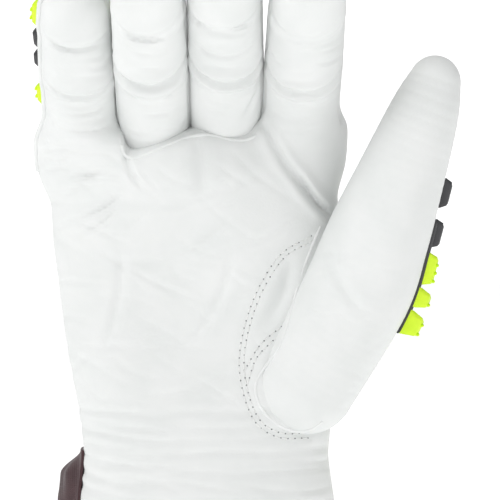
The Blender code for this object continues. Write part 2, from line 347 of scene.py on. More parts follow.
def take_faces(points: np.ndarray, faces: np.ndarray, keep: np.ndarray) -> Pair:
    """Keep some of a surface's faces.

    Args:
        points: the surface's points.
        faces: the point numbers of each face.
        keep: true for each face to keep.

    Returns:
        The points that the kept faces use, and those faces with their points renumbered.
    """
    faces = faces[keep]
    used = np.unique(faces)
    renumber = np.zeros(len(points), int)
    renumber[used] = np.arange(len(used))
    return points[used], renumber[faces]


def block_faces(rows: int, columns: int, first: int = 0) -> list:
    """Return the faces of a closed block made of a top grid followed by a bottom grid."""
    size = rows * columns
    faces = []
    for row in range(rows - 1):
        for column in range(columns - 1):
            corner = first + row * columns + column
            loop = (corner, corner + 1, corner + columns + 1, corner + columns)
            faces.append(loop)
            faces.append(tuple(number + size for number in reversed(loop)))
    edge = [(0, column) for column in range(columns)]
    edge += [(row, columns - 1) for row in range(1, rows)]
    edge += [(rows - 1, column) for column in range(columns - 2, -1, -1)]
    edge += [(row, 0) for row in range(rows - 2, 0, -1)]
    for (row, column), (next_row, next_column) in zip(edge, edge[1:] + edge[:1]):
        here = first + row * columns + column
        beyond = first + next_row * columns + next_column
        faces.append((beyond, here, here + size, beyond + size))
    return faces


def face_outwards(item: bpy.types.Object) -> bpy.types.Object:
    """Turn every face of a closed piece outwards."""
    bm = bmesh.new()
    bm.from_mesh(item.data)
    bmesh.ops.recalc_face_normals(bm, faces=bm.faces)
    bm.to_mesh(item.data)
    bm.free()
    return item


def tube_along(name: str, line: np.ndarray, radius: np.ndarray | float,
               material: bpy.types.Material, sides: int = 10) -> bpy.types.Object:
    """Make a closed round bead along a line.

    Args:
        name: the piece's name.
        line: the points that it follows.
        radius: its radius, or one radius for each point.
        material: its finish.
        sides: how many faces go round it.

    Returns:
        The bead.
    """
    along = unit(np.gradient(line, axis=0))
    side = unit(np.cross(along, np.array([0.31, -0.83, 0.46])))
    lift = np.cross(side, along)
    radii = np.broadcast_to(np.asarray(radius, float), len(line))
    angles = np.linspace(0, 2 * math.pi, sides, endpoint=False)
    rings = [
        line + radii[:, None] * (side * math.cos(angle) + lift * math.sin(angle))
        for angle in angles
    ]
    points = np.stack(rings, 1).reshape(-1, 3)
    points = np.vstack([points, line[:1], line[-1:]])
    last = len(line) - 1
    faces = []
    for number in range(sides):
        after = (number + 1) % sides
        for row in range(last):
            faces.append((row * sides + number, row * sides + after,
                          (row + 1) * sides + after, (row + 1) * sides + number))
        faces.append((len(points) - 2, after, number))
        faces.append((len(points) - 1, last * sides + number, last * sides + after))
    return face_outwards(make_piece(name, points, faces, material))


# ---------------------------------------------------------------------------------------------
# The glove's body: the hand, the fingers and the thumb as fields
# ---------------------------------------------------------------------------------------------


def lean(degrees: float) -> np.ndarray:
    """Return the way a finger bone points when it leans this much towards the palm side."""
    return np.array([0, -math.sin(math.radians(degrees)), math.cos(math.radians(degrees))])


def behind(way: np.ndarray) -> np.ndarray:
    """Return the way towards a finger's back, square to its bone."""
    return np.array([0.0, way[2], -way[1]])


def round_cone(points: np.ndarray, start: np.ndarray, end: np.ndarray, wide: float,
               narrow: float) -> np.ndarray:
    """Return the distance to a bone of round ends whose radius changes from wide to narrow."""
    bone = end - start
    share = np.clip((points - start) @ bone / (bone @ bone), 0, 1)
    centre = start + share[:, None] * bone
    return np.linalg.norm(points - centre, axis=1) - (wide + (narrow - wide) * share)


@dataclass
class FingerShape:
    """A finger stall: three padded bones in a chain, with its fold lines."""

    name: str
    radius: float
    lengths: tuple[float, float]
    leans: tuple[float, float]
    seed: int
    spread: float = 1.04
    shift: float = 0.0
    drift: float = 0.0
    folds: tuple[Crease, ...] = ()
    strip_seams: tuple[float, float] = (1.3, 2.0)
    root: np.ndarray = field(init=False)
    middle: np.ndarray = field(init=False)
    end: np.ndarray = field(init=False)
    tip: np.ndarray = field(init=False)

    def __post_init__(self) -> None:
        """Place the bones from the frame's joints."""
        self.root = joint_place(f"{self.name}_knuckle")
        self.middle = joint_place(f"{self.name}_middle_joint")
        self.ways = [unit(self.middle - self.root), lean(self.leans[0]), lean(self.leans[1])]
        self.end = self.middle + self.ways[1] * self.lengths[0]
        self.tip = self.end + self.ways[2] * (self.lengths[1] - 0.86 * self.radius)
        self.reach = float(np.linalg.norm(self.middle - self.root))
        self.creases = [*self.folds, *self.wrinkles()]

    def wrinkles(self) -> list[Crease]:
        """Return the fine wrinkles of its palm side."""
        top = self.reach + self.lengths[0] + 4
        return scatter_creases(self.seed, 26, (-10, 10, 12, top), turn=10, length=(5, 13),
                               depth=(0.08, 0.28))

    def field(self, points: np.ndarray) -> np.ndarray:
        """Return the distance to the plain stall, worked out only near it."""
        corners = np.array([self.root, self.middle, self.end, self.tip])
        margin = self.radius + 15
        near = ((points > corners.min(0) - margin) & (points < corners.max(0) + margin)).all(1)
        value = np.full(len(points), FAR)
        value[near] = self.close_field(points[near])
        return value

    def sideways(self, points: np.ndarray) -> np.ndarray:
        """Return how far the stall has moved sideways at each point's place along it."""
        share = np.clip((points - self.root) @ self.ways[0] / 55, 0, 1.3)
        return self.shift + self.drift * share

    def straightened(self, points: np.ndarray) -> np.ndarray:
        """Return the points with the stall's sideways spread and drift taken out."""
        points = points.copy()
        across = points[:, 0] - self.root[0] - self.sideways(points)
        points[:, 0] = self.root[0] + across / self.spread
        return points

    def close_field(self, points: np.ndarray) -> np.ndarray:
        """Return the distance to the plain stall."""
        points = self.straightened(points)
        size = self.radius
        lower, upper, last = self.ways
        pads = (
            (self.root + 0.5 * behind(lower), self.middle - 5.5 * lower + 0.3 * behind(lower),
             0.98 * size, 0.97 * size),
            (self.middle + 5.6 * upper - 2.0 * behind(upper),
             self.end - 4.6 * upper - 1.4 * behind(upper), 0.98 * size, 0.95 * size),
            (self.end + 4.8 * last - 1.5 * behind(last), self.tip - 0.8 * behind(last),
             0.95 * size, 0.89 * size),
        )
        value = None
        for pad in pads:
            one = round_cone(points, *pad)
            value = one if value is None else smooth_union(value, one, 1.2)
        chain = [self.root, self.middle, self.end, self.tip]
        sizes = [0.95 * size, 0.96 * size, 0.91 * size, 0.83 * size]
        lifts = [behind(self.ways[min(number, 2)]) * 0.7 for number in range(4)]
        for number in range(3):
            bone = round_cone(points, chain[number] + lifts[number],
                              chain[number + 1] + lifts[number + 1],
                              sizes[number], sizes[number + 1])
            value = smooth_union(value, bone, 2.0)
        return value

    def own_places(self, points: np.ndarray) -> tuple[np.ndarray, np.ndarray, np.ndarray]:
        """Return each point's place on the stall: across, along, and how much it faces the palm.

        Args:
            points: points near the stall.

        Returns:
            Millimetres round it from the middle of the palm side, millimetres along it from the
            knuckle, and 1 on the palm side falling to -1 on the back.
        """
        chain = [self.root, self.middle, self.end, self.tip + self.ways[2] * self.radius]
        points = self.straightened(points)
        best = np.full(len(points), np.inf)
        across, along, facing = (np.zeros(len(points)) for _ in range(3))
        walked = 0.0
        for number in range(3):
            bone = chain[number + 1] - chain[number]
            length = np.linalg.norm(bone)
            way = bone / length
            share = (points - chain[number]) @ way
            held = np.clip(share, -20 if number == 0 else 0, length)
            offset = points - chain[number] - held[:, None] * way
            distance = np.linalg.norm(offset, axis=1)
            palm = -(offset @ behind(way))
            angle = np.arctan2(offset[:, 0], palm)
            closer = distance < best
            best[closer] = distance[closer]
            across[closer] = angle[closer] * self.radius
            along[closer] = walked + held[closer]
            facing[closer] = np.cos(angle[closer])
            walked += length
        return across, along, facing

    def relief(self, points: np.ndarray) -> np.ndarray:
        """Return how far its folds and wrinkles lift or sink the leather."""
        across, along, facing = self.own_places(points)
        total = np.zeros(len(points))
        for crease in self.creases:
            total += crease.height(across, along)
        total = total * smooth_step(-0.25, 0.35, facing)
        for place in self.strip_seams:
            seam = (np.abs(across) - place * self.radius) / 0.8
            total -= 0.4 * np.exp(-(seam**2)) * smooth_step(6, 14, along)
        return total

    def detailed(self, points: np.ndarray) -> np.ndarray:
        """Return the distance to the stall with its folds."""
        return self.close_field(points) - self.relief(points)

    def web_way(self) -> np.ndarray:
        """Return the way square to the line where the stall leaves the hand."""
        return unit(np.array([0, -0.35 if self.name != "little" else -0.25, 1.0]))

    def above_web(self, points: np.ndarray) -> np.ndarray:
        """Return how far points lie above the line where the stall leaves the hand."""
        return (points - self.root - UP * 3.0) @ self.web_way()

    def along_lower(self, points: np.ndarray) -> np.ndarray:
        """Return how far points lie along the lower bone from the knuckle."""
        return (points - self.root) @ self.ways[0]


@dataclass
class HandShape:
    """The hand and cuff: a flattened tube with a closed top, which two fingers flow into."""

    heights: tuple = (0, 20, 48, 66, 90, 120, 150)
    lefts: tuple = (48, 45, 42.4, 44.4, 49.2, 53.2, 54.8)
    rights: tuple = (48, 44, 40, 41.8, 43.8, 44, 42.8)
    depths: tuple = (33, 29.5, 24.5, 21.5, 19, 17.7, 16.8)
    squareness: float = 2.45
    top_seam: tuple = ((-29, 152), (-26, 147.5), (-15, 151.5), (-3, 155.5), (10, 153.5),
                       (18, 156))
    seam_cover: float = 1.5
    side_seam: float = 1.0
    back_hem: float = 48.0
    fingers: tuple = ()
    creases: list = field(default_factory=list)
    lines: list = field(default_factory=list)
    top_line: np.ndarray = field(init=False)

    def __post_init__(self) -> None:
        """Draw the seam along the top of the palm."""
        self.top_line = curve_through(self.top_seam, 60)

    def measures(self, height: np.ndarray) -> tuple[np.ndarray, np.ndarray, np.ndarray]:
        """Measure the tube where it is cut across.

        Args:
            height: the heights of the cuts.

        Returns:
            The middle, half width and half depth at each height.
        """
        fine = np.arange(-10, 180, 1.0)
        window = np.hanning(13)
        window = window / window.sum()
        rows = []
        for table in (self.lefts, self.rights, self.depths):
            line = np.interp(fine, self.heights, table)
            line = np.convolve(np.pad(line, 6, mode="edge"), window, mode="valid")
            rows.append(np.interp(height, fine, line))
        left, right, depth = rows
        return (right - left) / 2, (right + left) / 2, depth

    def tube(self, points: np.ndarray) -> np.ndarray:
        """Return the distance to the hand without its fingers."""
        middle, half_width, half_depth = self.measures(points[:, 2])
        side = np.abs(points[:, 0] - middle) / half_width
        front = np.abs(points[:, 1]) / half_depth
        power = self.squareness
        share = np.maximum((side**power + front**power) ** (1 / power), 1e-4)
        run = np.hypot(points[:, 0] - middle, points[:, 1])
        wall = run * (1 - 1 / share)
        steep = np.maximum(np.minimum(half_width, half_depth) / np.maximum(run / share, 1), 0.35)
        wall = wall * steep
        seam = self.top_line
        top = np.interp(points[:, 0], seam[:, 0], seam[:, 1]) + self.seam_cover
        rise = np.where(points[:, 1] < -4, 0.3 * (points[:, 1] + 16),
                        3.6 - 0.3 * (points[:, 1] + 4))
        cap = points[:, 2] - top - rise
        return -smooth_union(-wall, -cap, 5.0)

    def field(self, points: np.ndarray) -> np.ndarray:
        """Return the distance to the hand with the fingers that flow into it."""
        value = self.tube(points)
        for finger in self.fingers:
            value = smooth_union(value, finger.field(points), 9.0)
        return value

    def relief(self, points: np.ndarray) -> np.ndarray:
        """Return how far the folds and wrinkles of the palm lift or sink the leather."""
        total = np.zeros(len(points))
        for crease in self.creases:
            total += crease.height(points[:, 0], points[:, 2])
        for line, depth, width in self.lines:
            flat = points[:, [0, 2]]
            near = np.full(len(points), np.inf)
            for spot in line:
                near = np.minimum(near, ((flat - spot) ** 2).sum(1))
            total += depth * np.exp(-near / width**2)
        total *= smooth_step(-2, -9, points[:, 1]) * smooth_step(162, 156, points[:, 2])
        seam = np.exp(-(((points[:, 1] - self.side_seam) / 0.7) ** 2))
        total -= 0.45 * seam * smooth_step(154, 146, points[:, 2])
        for finger in self.fingers:
            share = smooth_step(2, 8, finger.above_web(points))
            share = share * (np.abs(points[:, 0] - finger.root[0]) < finger.radius + 2)
            if share.any():
                chosen = share > 0
                total[chosen] += share[chosen] * finger.relief(points[chosen])
        return total

    def hollow(self, points: np.ndarray) -> np.ndarray:
        """Return how far the cupped middle of the palm sinks and its two mounds rise."""
        across, up = points[:, 0], points[:, 2]
        cup = 2.6 * np.exp(-(((across + 8) / 24) ** 2) - ((up - 104) / 26) ** 2)
        mound = 1.6 * np.exp(-(((across + 36) / 14) ** 2) - ((up - 84) / 26) ** 2)
        ridge = 1.2 * np.exp(-(((across + 2) / 34) ** 2) - ((up - 143) / 9) ** 2)
        return (mound + ridge - cup) * smooth_step(-2, -10, points[:, 1])

    def plain(self, points: np.ndarray) -> np.ndarray:
        """Return the distance to the hand with its cup and mounds."""
        return self.field(points) - self.hollow(points)

    def detailed(self, points: np.ndarray) -> np.ndarray:
        """Return the distance to the hand with all its folds."""
        return self.plain(points) - self.relief(points)


@dataclass
class ThumbShape:
    """The set-in thumb: a flattened chain from the pillow in the palm to the tip."""

    from_base: tuple = ((-4.5, -4, -13.5), (11.5, -4.5, 16.5))
    from_tip: tuple = ((-5.5, 5.5, -17), (1.5, 1.5, 2), (9, -2.5, 23), (12.5, -4, 33.5))
    radii: tuple = (16.2, 18, 17.4, 15.1, 12, 9)
    flats: tuple = (0.62, 0.8, 0.88, 0.9, 0.9, 0.9)
    turns: tuple = (90, 75, 55, 42, 37, 37)
    creases: list = field(default_factory=list)

    def __post_init__(self) -> None:
        """Smooth the chain."""
        spots = np.vstack([joint_place("thumb_base") + self.from_base,
                           joint_place("thumb_tip") + self.from_tip])
        rows = np.column_stack([spots, self.radii, self.flats, self.turns])
        rows = curve_through(rows, 40)
        self.line = rows[:, :3]
        self.sizes = rows[:, 3]
        self.shares = rows[:, 4]
        self.angles = rows[:, 5]
        turn = np.radians(self.angles)
        self.backs = np.stack([np.cos(turn), np.sin(turn), 0 * turn], 1)

    def field(self, points: np.ndarray) -> np.ndarray:
        """Return the distance to the plain thumb."""
        best = np.full(len(points), np.inf)
        for number in range(len(self.line) - 1):
            start, end = self.line[number], self.line[number + 1]
            bone = end - start
            share = np.clip((points - start) @ bone / (bone @ bone), 0, 1)
            size = self.sizes[number] + (self.sizes[number + 1] - self.sizes[number]) * share
            flat = self.shares[number] + (self.shares[number + 1] - self.shares[number]) * share
            offset = points - start - share[:, None] * bone
            back = self.backs[number] + share[:, None] * (self.backs[number + 1]
                                                          - self.backs[number])
            deep = (offset * back).sum(1)
            spread = np.maximum((offset**2).sum(1) - deep**2, 0)
            length = np.sqrt(spread + (deep / flat) ** 2)
            best = np.minimum(best, (length - size) * flat)
        return best

    def relief(self, points: np.ndarray) -> np.ndarray:
        """Return how far the thumb's folds lift or sink the leather, on its palm side."""
        total = np.zeros(len(points))
        for crease in self.creases:
            total += crease.height(points[:, 0], points[:, 2])
        centre = np.interp(points[:, 2], self.line[:, 2], self.line[:, 1])
        return total * smooth_step(1, -4, points[:, 1] - centre)

    def detailed(self, points: np.ndarray) -> np.ndarray:
        """Return the distance to the thumb with its folds."""
        return self.field(points) - self.relief(points)


# ---------------------------------------------------------------------------------------------
# Finishes
# ---------------------------------------------------------------------------------------------


def add_node(tree: bpy.types.NodeTree, kind: str, **settings: object) -> bpy.types.Node:
    """Add a node with its settings and its named or numbered input values.

    Args:
        tree: the tree to add it to.
        kind: the node's type name.
        settings: attributes to set; inputs as in_NAME.

    Returns:
        The node.
    """
    node = tree.nodes.new(kind)
    for name, value in settings.items():
        if name.startswith("in_"):
            key = name[3:]
            node.inputs[int(key) if key.isdigit() else key].default_value = value
        else:
            setattr(node, name, value)
    return node


def height_group(name: str, build: Callable) -> bpy.types.NodeTree:
    """Make, once, a group that turns a place into a surface height and a tone.

    Args:
        name: the group's name.
        build: adds the nodes; it is given the tree, the place and the size, and returns the
            height and tone sockets.

    Returns:
        The group.
    """
    if name in bpy.data.node_groups:
        return bpy.data.node_groups[name]
    tree = bpy.data.node_groups.new(name, "ShaderNodeTree")
    tree.interface.new_socket("Place", in_out="INPUT", socket_type="NodeSocketVector")
    size = tree.interface.new_socket("Size", in_out="INPUT", socket_type="NodeSocketFloat")
    size.default_value = 1.0
    tree.interface.new_socket("Height", in_out="OUTPUT", socket_type="NodeSocketFloat")
    tree.interface.new_socket("Tone", in_out="OUTPUT", socket_type="NodeSocketFloat")
    source = tree.nodes.new("NodeGroupInput")
    target = tree.nodes.new("NodeGroupOutput")
    scaled = add_node(tree, "ShaderNodeVectorMath", operation="SCALE")
    tree.links.new(source.outputs["Place"], scaled.inputs[0])
    tree.links.new(source.outputs["Size"], scaled.inputs["Scale"])
    height, tone = build(tree, scaled.outputs[0])
    tree.links.new(height, target.inputs["Height"])
    tree.links.new(tone, target.inputs["Tone"])
    return tree


def leather_grain(tree: bpy.types.NodeTree, place: bpy.types.NodeSocket) -> Sockets:
    """Add pebbled goatskin: fine cells over soft unevenness.

    Args:
        tree: the group's tree.
        place: the socket that gives the place on the piece.

    Returns:
        The height and tone sockets.
    """
    cells = add_node(tree, "ShaderNodeTexVoronoi", feature="SMOOTH_F1", in_Scale=1150.0,
                     in_Smoothness=0.6)
    pores = add_node(tree, "ShaderNodeTexNoise", in_Scale=620.0, in_Detail=4.0)
    soft = add_node(tree, "ShaderNodeTexNoise", in_Scale=70.0, in_Detail=3.0)
    for node in (cells, pores, soft):
        tree.links.new(place, node.inputs["Vector"])
    rough = add_node(tree, "ShaderNodeMath", operation="MULTIPLY_ADD", in_1=0.6)
    tree.links.new(cells.outputs["Distance"], rough.inputs[0])
    tree.links.new(pores.outputs["Fac"], rough.inputs[2])
    return rough.outputs[0], soft.outputs["Fac"]


def moulded_skin(tree: bpy.types.NodeTree, place: bpy.types.NodeSocket) -> Sockets:
    """Add the fine spark-eroded texture of moulded rubber.

    Args:
        tree: the group's tree.
        place: the socket that gives the place on the piece.

    Returns:
        The height and tone sockets.
    """
    speck = add_node(tree, "ShaderNodeTexNoise", in_Scale=2400.0, in_Detail=2.0)
    soft = add_node(tree, "ShaderNodeTexNoise", in_Scale=120.0, in_Detail=2.0)
    for node in (speck, soft):
        tree.links.new(place, node.inputs["Vector"])
    return speck.outputs["Fac"], soft.outputs["Fac"]


def crossed_threads(tree: bpy.types.NodeTree, place: bpy.types.NodeSocket) -> Sockets:
    """Add a plain weave: two sets of fine ridges with a little unevenness.

    Args:
        tree: the group's tree.
        place: the socket that gives the place on the piece.

    Returns:
        The height and tone sockets.
    """
    upright = add_node(tree, "ShaderNodeTexWave", bands_direction="X", in_Scale=420.0,
                       in_Distortion=0.6)
    level = add_node(tree, "ShaderNodeTexWave", bands_direction="Z", in_Scale=420.0,
                     in_Distortion=0.6)
    soft = add_node(tree, "ShaderNodeTexNoise", in_Scale=160.0, in_Detail=4.0)
    for node in (upright, level, soft):
        tree.links.new(place, node.inputs["Vector"])
    high = add_node(tree, "ShaderNodeMath", operation="MAXIMUM")
    tree.links.new(upright.outputs["Fac"], high.inputs[0])
    tree.links.new(level.outputs["Fac"], high.inputs[1])
    return high.outputs[0], soft.outputs["Fac"]


class Surface(Enum):
    """The surface patterns, each built once as a shader group."""

    GRAIN = ("leather_grain", leather_grain)
    MOULDED = ("moulded_skin", moulded_skin)
    WEAVE = ("crossed_threads", crossed_threads)

    def group(self) -> bpy.types.NodeTree:
        """Return the pattern's shader group."""
        return height_group(*self.value)


@dataclass(frozen=True)
class Finish:
    """A finish: two close colours mixed by a pattern, a roughness and a bump."""

    name: str
    slot: str
    light: tuple[float, float, float]
    dark: tuple[float, float, float]
    surface: Surface
    size: float = 1.0
    roughness: tuple[float, float] = (0.55, 0.7)
    bump: float = 0.2
    bump_depth: float = 0.12
    sheen: float = 0.0
    specular: float = 0.5

    def material(self) -> bpy.types.Material:
        """Return the finish's material, made on first use."""
        if self.name in bpy.data.materials:
            return bpy.data.materials[self.name]
        material = bpy.data.materials.new(self.name)
        material.use_nodes = True
        tree = material.node_tree
        shader = tree.nodes["Principled BSDF"]
        shader.inputs["Sheen Weight"].default_value = self.sheen
        shader.inputs["Specular IOR Level"].default_value = self.specular
        place = add_node(tree, "ShaderNodeTexCoord")
        pattern = add_node(tree, "ShaderNodeGroup", node_tree=self.surface.group(),
                           in_Size=self.size)
        colour = add_node(tree, "ShaderNodeMix", data_type="RGBA")
        colour.inputs[6].default_value = (*self.dark, 1)
        colour.inputs[7].default_value = (*self.light, 1)
        spread = add_node(tree, "ShaderNodeMapRange", in_1=0.35, in_2=0.65)
        rough = add_node(tree, "ShaderNodeMapRange", in_3=self.roughness[0],
                         in_4=self.roughness[1])
        bump = add_node(tree, "ShaderNodeBump", in_Strength=self.bump)
        bump.inputs["Distance"].default_value = self.bump_depth * MM
        links = tree.links
        links.new(place.outputs["Object"], pattern.inputs["Place"])
        links.new(pattern.outputs["Tone"], spread.inputs[0])
        links.new(spread.outputs[0], colour.inputs[0])
        links.new(colour.outputs[2], shader.inputs["Base Color"])
        links.new(pattern.outputs["Tone"], rough.inputs[0])
        links.new(rough.outputs[0], shader.inputs["Roughness"])
        links.new(pattern.outputs["Height"], bump.inputs["Height"])
        links.new(bump.outputs[0], shader.inputs["Normal"])
        return material


LEATHER = Finish("goatskin_white", "white_goatskin", (0.8, 0.812, 0.804), (0.765, 0.782, 0.772),
                 Surface.GRAIN, 1.0, (0.5, 0.66), 0.35, 0.1, 0.15, 0.35)
EDGE = Finish("goatskin_edge", "white_goatskin", (0.84, 0.85, 0.845), (0.78, 0.79, 0.785),
              Surface.GRAIN, 1.4, (0.6, 0.75), 0.3, 0.1, 0.1, 0.3)
BLACK = Finish("rubber_black", "black_rubber", (0.046, 0.046, 0.05), (0.034, 0.034, 0.038),
               Surface.MOULDED, 1.0, (0.42, 0.55), 0.25, 0.05, 0.0, 0.4)
HI_VIS = Finish("rubber_yellow_green", "yellow_green_rubber", (0.74, 1.0, 0.03),
                (0.66, 0.94, 0.02), Surface.MOULDED, 1.0, (0.4, 0.52), 0.2, 0.05, 0.0, 0.4)
BROWN = Finish("cloth_brown", "brown_cuff_cloth", (0.078, 0.04, 0.044), (0.052, 0.026, 0.029),
               Surface.WEAVE, 1.0, (0.75, 0.9), 0.5, 0.2, 0.3, 0.25)
KNIT = Finish("knit_grey", "grey_knit", (0.58, 0.59, 0.58), (0.48, 0.49, 0.48),
              Surface.WEAVE, 0.6, (0.85, 0.95), 0.7, 0.4, 0.3, 0.2)
ELASTIC = Finish("elastic_white", "woven_elastic", (0.8, 0.8, 0.79), (0.72, 0.72, 0.7),
                 Surface.WEAVE, 0.9, (0.75, 0.9), 0.6, 0.25, 0.2, 0.25)
TAPE = Finish("binding_tape", "cuff_binding_tape", (0.82, 0.82, 0.81), (0.74, 0.74, 0.73),
              Surface.WEAVE, 1.0, (0.75, 0.9), 0.6, 0.25, 0.2, 0.25)
LABEL = Finish("label_cloth", "blank_label", (0.88, 0.88, 0.87), (0.82, 0.82, 0.81),
               Surface.WEAVE, 1.6, (0.7, 0.85), 0.4, 0.15, 0.1, 0.25)
THREAD = Finish("sewing_thread", "white_goatskin", (0.86, 0.86, 0.85), (0.76, 0.77, 0.76),
                Surface.WEAVE, 3.0, (0.6, 0.8), 0.3, 0.1, 0.2, 0.3)
# Hole dots: a darkened copy of the white goatskin, painted shade that stands in for the shadow
# inside each needle hole.
HOLE_SHADE = Finish("stitch_hole_shade", "white_goatskin", (0.3, 0.31, 0.31), (0.2, 0.21, 0.21),
              Surface.GRAIN, 1.0, (0.9, 1.0), 0.1, 0.05, 0.0, 0.1)


# ---------------------------------------------------------------------------------------------
# Stitches and ribs by Geometry Nodes
# ---------------------------------------------------------------------------------------------


def marks_tree() -> bpy.types.NodeTree:
    """Make, once, the tree that sets a rounded mark on each point of a mesh.

    Returns:
        A tree whose points carry the vectors along and out, with inputs for a mark's size.
    """
    name = "marks_on_a_row"
    if name in bpy.data.node_groups:
        return bpy.data.node_groups[name]
    tree = bpy.data.node_groups.new(name, "GeometryNodeTree")
    face = tree.interface
    face.new_socket("Geometry", in_out="INPUT", socket_type="NodeSocketGeometry")
    for label in ("Length", "Width", "Height"):
        face.new_socket(label, in_out="INPUT", socket_type="NodeSocketFloat")
    face.new_socket("Segments", in_out="INPUT", socket_type="NodeSocketInt")
    face.new_socket("Finish", in_out="INPUT", socket_type="NodeSocketMaterial")
    face.new_socket("Geometry", in_out="OUTPUT", socket_type="NodeSocketGeometry")
    source = tree.nodes.new("NodeGroupInput")
    target = tree.nodes.new("NodeGroupOutput")
    along = add_node(tree, "GeometryNodeInputNamedAttribute", data_type="FLOAT_VECTOR",
                     in_Name="along")
    out = add_node(tree, "GeometryNodeInputNamedAttribute", data_type="FLOAT_VECTOR",
                   in_Name="out")
    first = add_node(tree, "FunctionNodeAlignRotationToVector", axis="Z")
    second = add_node(tree, "FunctionNodeAlignRotationToVector", axis="X", pivot_axis="Z")
    ball = add_node(tree, "GeometryNodeMeshUVSphere", in_Rings=4, in_Radius=0.5)
    size = tree.nodes.new("ShaderNodeCombineXYZ")
    place = tree.nodes.new("GeometryNodeInstanceOnPoints")
    real = tree.nodes.new("GeometryNodeRealizeInstances")
    finish = tree.nodes.new("GeometryNodeSetMaterial")
    smooth = tree.nodes.new("GeometryNodeSetShadeSmooth")
    links = tree.links
    links.new(along.outputs[0], first.inputs["Vector"])
    links.new(first.outputs[0], second.inputs["Rotation"])
    links.new(out.outputs[0], second.inputs["Vector"])
    links.new(source.outputs["Segments"], ball.inputs["Segments"])
    links.new(source.outputs["Height"], size.inputs[0])
    links.new(source.outputs["Width"], size.inputs[1])
    links.new(source.outputs["Length"], size.inputs[2])
    links.new(source.outputs["Geometry"], place.inputs["Points"])
    links.new(second.outputs[0], place.inputs["Rotation"])
    links.new(ball.outputs["Mesh"], place.inputs["Instance"])
    links.new(size.outputs[0], place.inputs["Scale"])
    links.new(place.outputs[0], smooth.inputs[0])
    links.new(smooth.outputs[0], real.inputs[0])
    links.new(real.outputs[0], finish.inputs["Geometry"])
    links.new(source.outputs["Finish"], finish.inputs["Material"])
    links.new(finish.outputs[0], target.inputs[0])
    return tree


@dataclass(frozen=True)
class Marks:
    """Rounded marks set in rows, such as stitches or ribs: their spacing and size."""

    spacing: float
    length: float
    width: float
    height: float
    finish: Finish
    segments: int = 6
    lift: float = 0.0
    start: float = 0.0

    def rows(self, name: str, shape: Field, lines: list[np.ndarray]) -> bpy.types.Object:
        """Set marks along lines that lie on a surface.

        Args:
            name: the piece's name.
            shape: the surface's field, whose slope says which way is out.
            lines: the points of each row.

        Returns:
            The marks as one plain mesh.
        """
        points, alongs = [], []
        for line in lines:
            length = np.linalg.norm(np.diff(line, axis=0), axis=1).sum()
            row = curve_through(line, max(3, int(length / self.spacing * 4)))
            places = np.linspace(0, length, len(row))
            wanted = np.arange(self.start * self.spacing, length, self.spacing)
            spots = np.stack([np.interp(wanted, places, row[:, i]) for i in range(3)], 1)
            ways = np.gradient(row, axis=0)
            points.append(spots)
            alongs.append(np.stack([np.interp(wanted, places, ways[:, i]) for i in range(3)], 1))
        points, alongs = np.vstack(points), unit(np.vstack(alongs))
        outs = unit(slope(shape, points, 0.8))
        mesh = bpy.data.meshes.new(f"{name}_spots")
        mesh.from_pydata(((points + outs * self.lift + HEM) * MM).tolist(), [], [])
        for label, ways in (("along", alongs), ("out", outs)):
            ways_kept = mesh.attributes.new(label, "FLOAT_VECTOR", "POINT")
            ways_kept.data.foreach_set("vector", ways.astype(np.float32).ravel())
        spots = bpy.data.objects.new(f"{name}_spots", mesh)
        bpy.context.scene.collection.objects.link(spots)
        modifier = spots.modifiers.new("marks", "NODES")
        modifier.node_group = marks_tree()
        values = {"Length": self.length * MM, "Width": self.width * MM,
                  "Height": self.height * MM, "Segments": self.segments,
                  "Finish": self.finish.material()}
        for socket in modifier.node_group.interface.items_tree:
            if socket.in_out == "INPUT" and socket.name in values:
                modifier[socket.identifier] = values[socket.name]
        graph = bpy.context.evaluated_depsgraph_get()
        mesh = bpy.data.meshes.new_from_object(spots.evaluated_get(graph))
        mesh.name = name
        bpy.data.objects.remove(spots)
        item = bpy.data.objects.new(name, mesh)
        bpy.context.scene.collection.objects.link(item)
        return item


def dress(item: bpy.types.Object, body: str) -> bpy.types.Object:
    """Let a rigid piece ride a body.

    Args:
        item: the piece.
        body: the body that it rides.

    Returns:
        The piece.
    """
    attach(item, body)
    LOG.info("%s: %d faces, rides %s", item.name, len(item.data.polygons), body)
    return item


@dataclass(frozen=True)
class Bend:
    """Where soft leather turns from one body to the next."""

    first: str
    second: str
    start: np.ndarray
    end: np.ndarray

    def carry(self, item: bpy.types.Object, finish: Finish) -> bpy.types.Object:
        """Bake a soft piece's place into its mesh and report it."""
        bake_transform(item)
        LOG.info("%s: %d faces, bends from %s to %s", item.name, len(item.data.polygons),
                 self.first, self.second)
        return item


# ---------------------------------------------------------------------------------------------
# Pieces
# ---------------------------------------------------------------------------------------------


def make_shell(name: str, net: tuple, detailed: Field, finish: Finish,
               thickness: float = LEATHER_THICKNESS) -> bpy.types.Object:
    """Make a closed leather wall from its outer faces, shaded by the detailed surface.

    Args:
        name: the piece's name.
        net: the outer points and faces.
        detailed: the field whose slope gives the shading.
        finish: the finish.
        thickness: how thick the leather is.

    Returns:
        The wall.
    """
    points, faces = net
    ways = unit(slope(detailed, points, 0.7))
    size = len(points)
    pairs = np.concatenate([faces[:, [side, (side + 1) % 4]] for side in range(4)])
    keys = np.sort(pairs, 1)
    _, index, count = np.unique(keys, axis=0, return_index=True, return_counts=True)
    edge = pairs[index[count == 1]]
    rim = np.column_stack([edge[:, 1], edge[:, 0], edge[:, 0] + size, edge[:, 1] + size])
    every = np.vstack([faces, faces[:, ::-1] + size, rim])
    item = make_piece(name, np.vstack([points, points - ways * thickness]), every,
                      finish.material(), 180)
    shading = np.vstack([ways, -ways])[every.reshape(-1)]
    shading[-rim.size:] = 0
    item.data.normals_split_custom_set(shading.tolist())
    return item


def cover(corners: np.ndarray, margin: float) -> Pair:
    """Return the lowest and highest corners of a box round points, with a margin."""
    corners = np.asarray(corners)
    return corners.min(0) - margin, corners.max(0) + margin


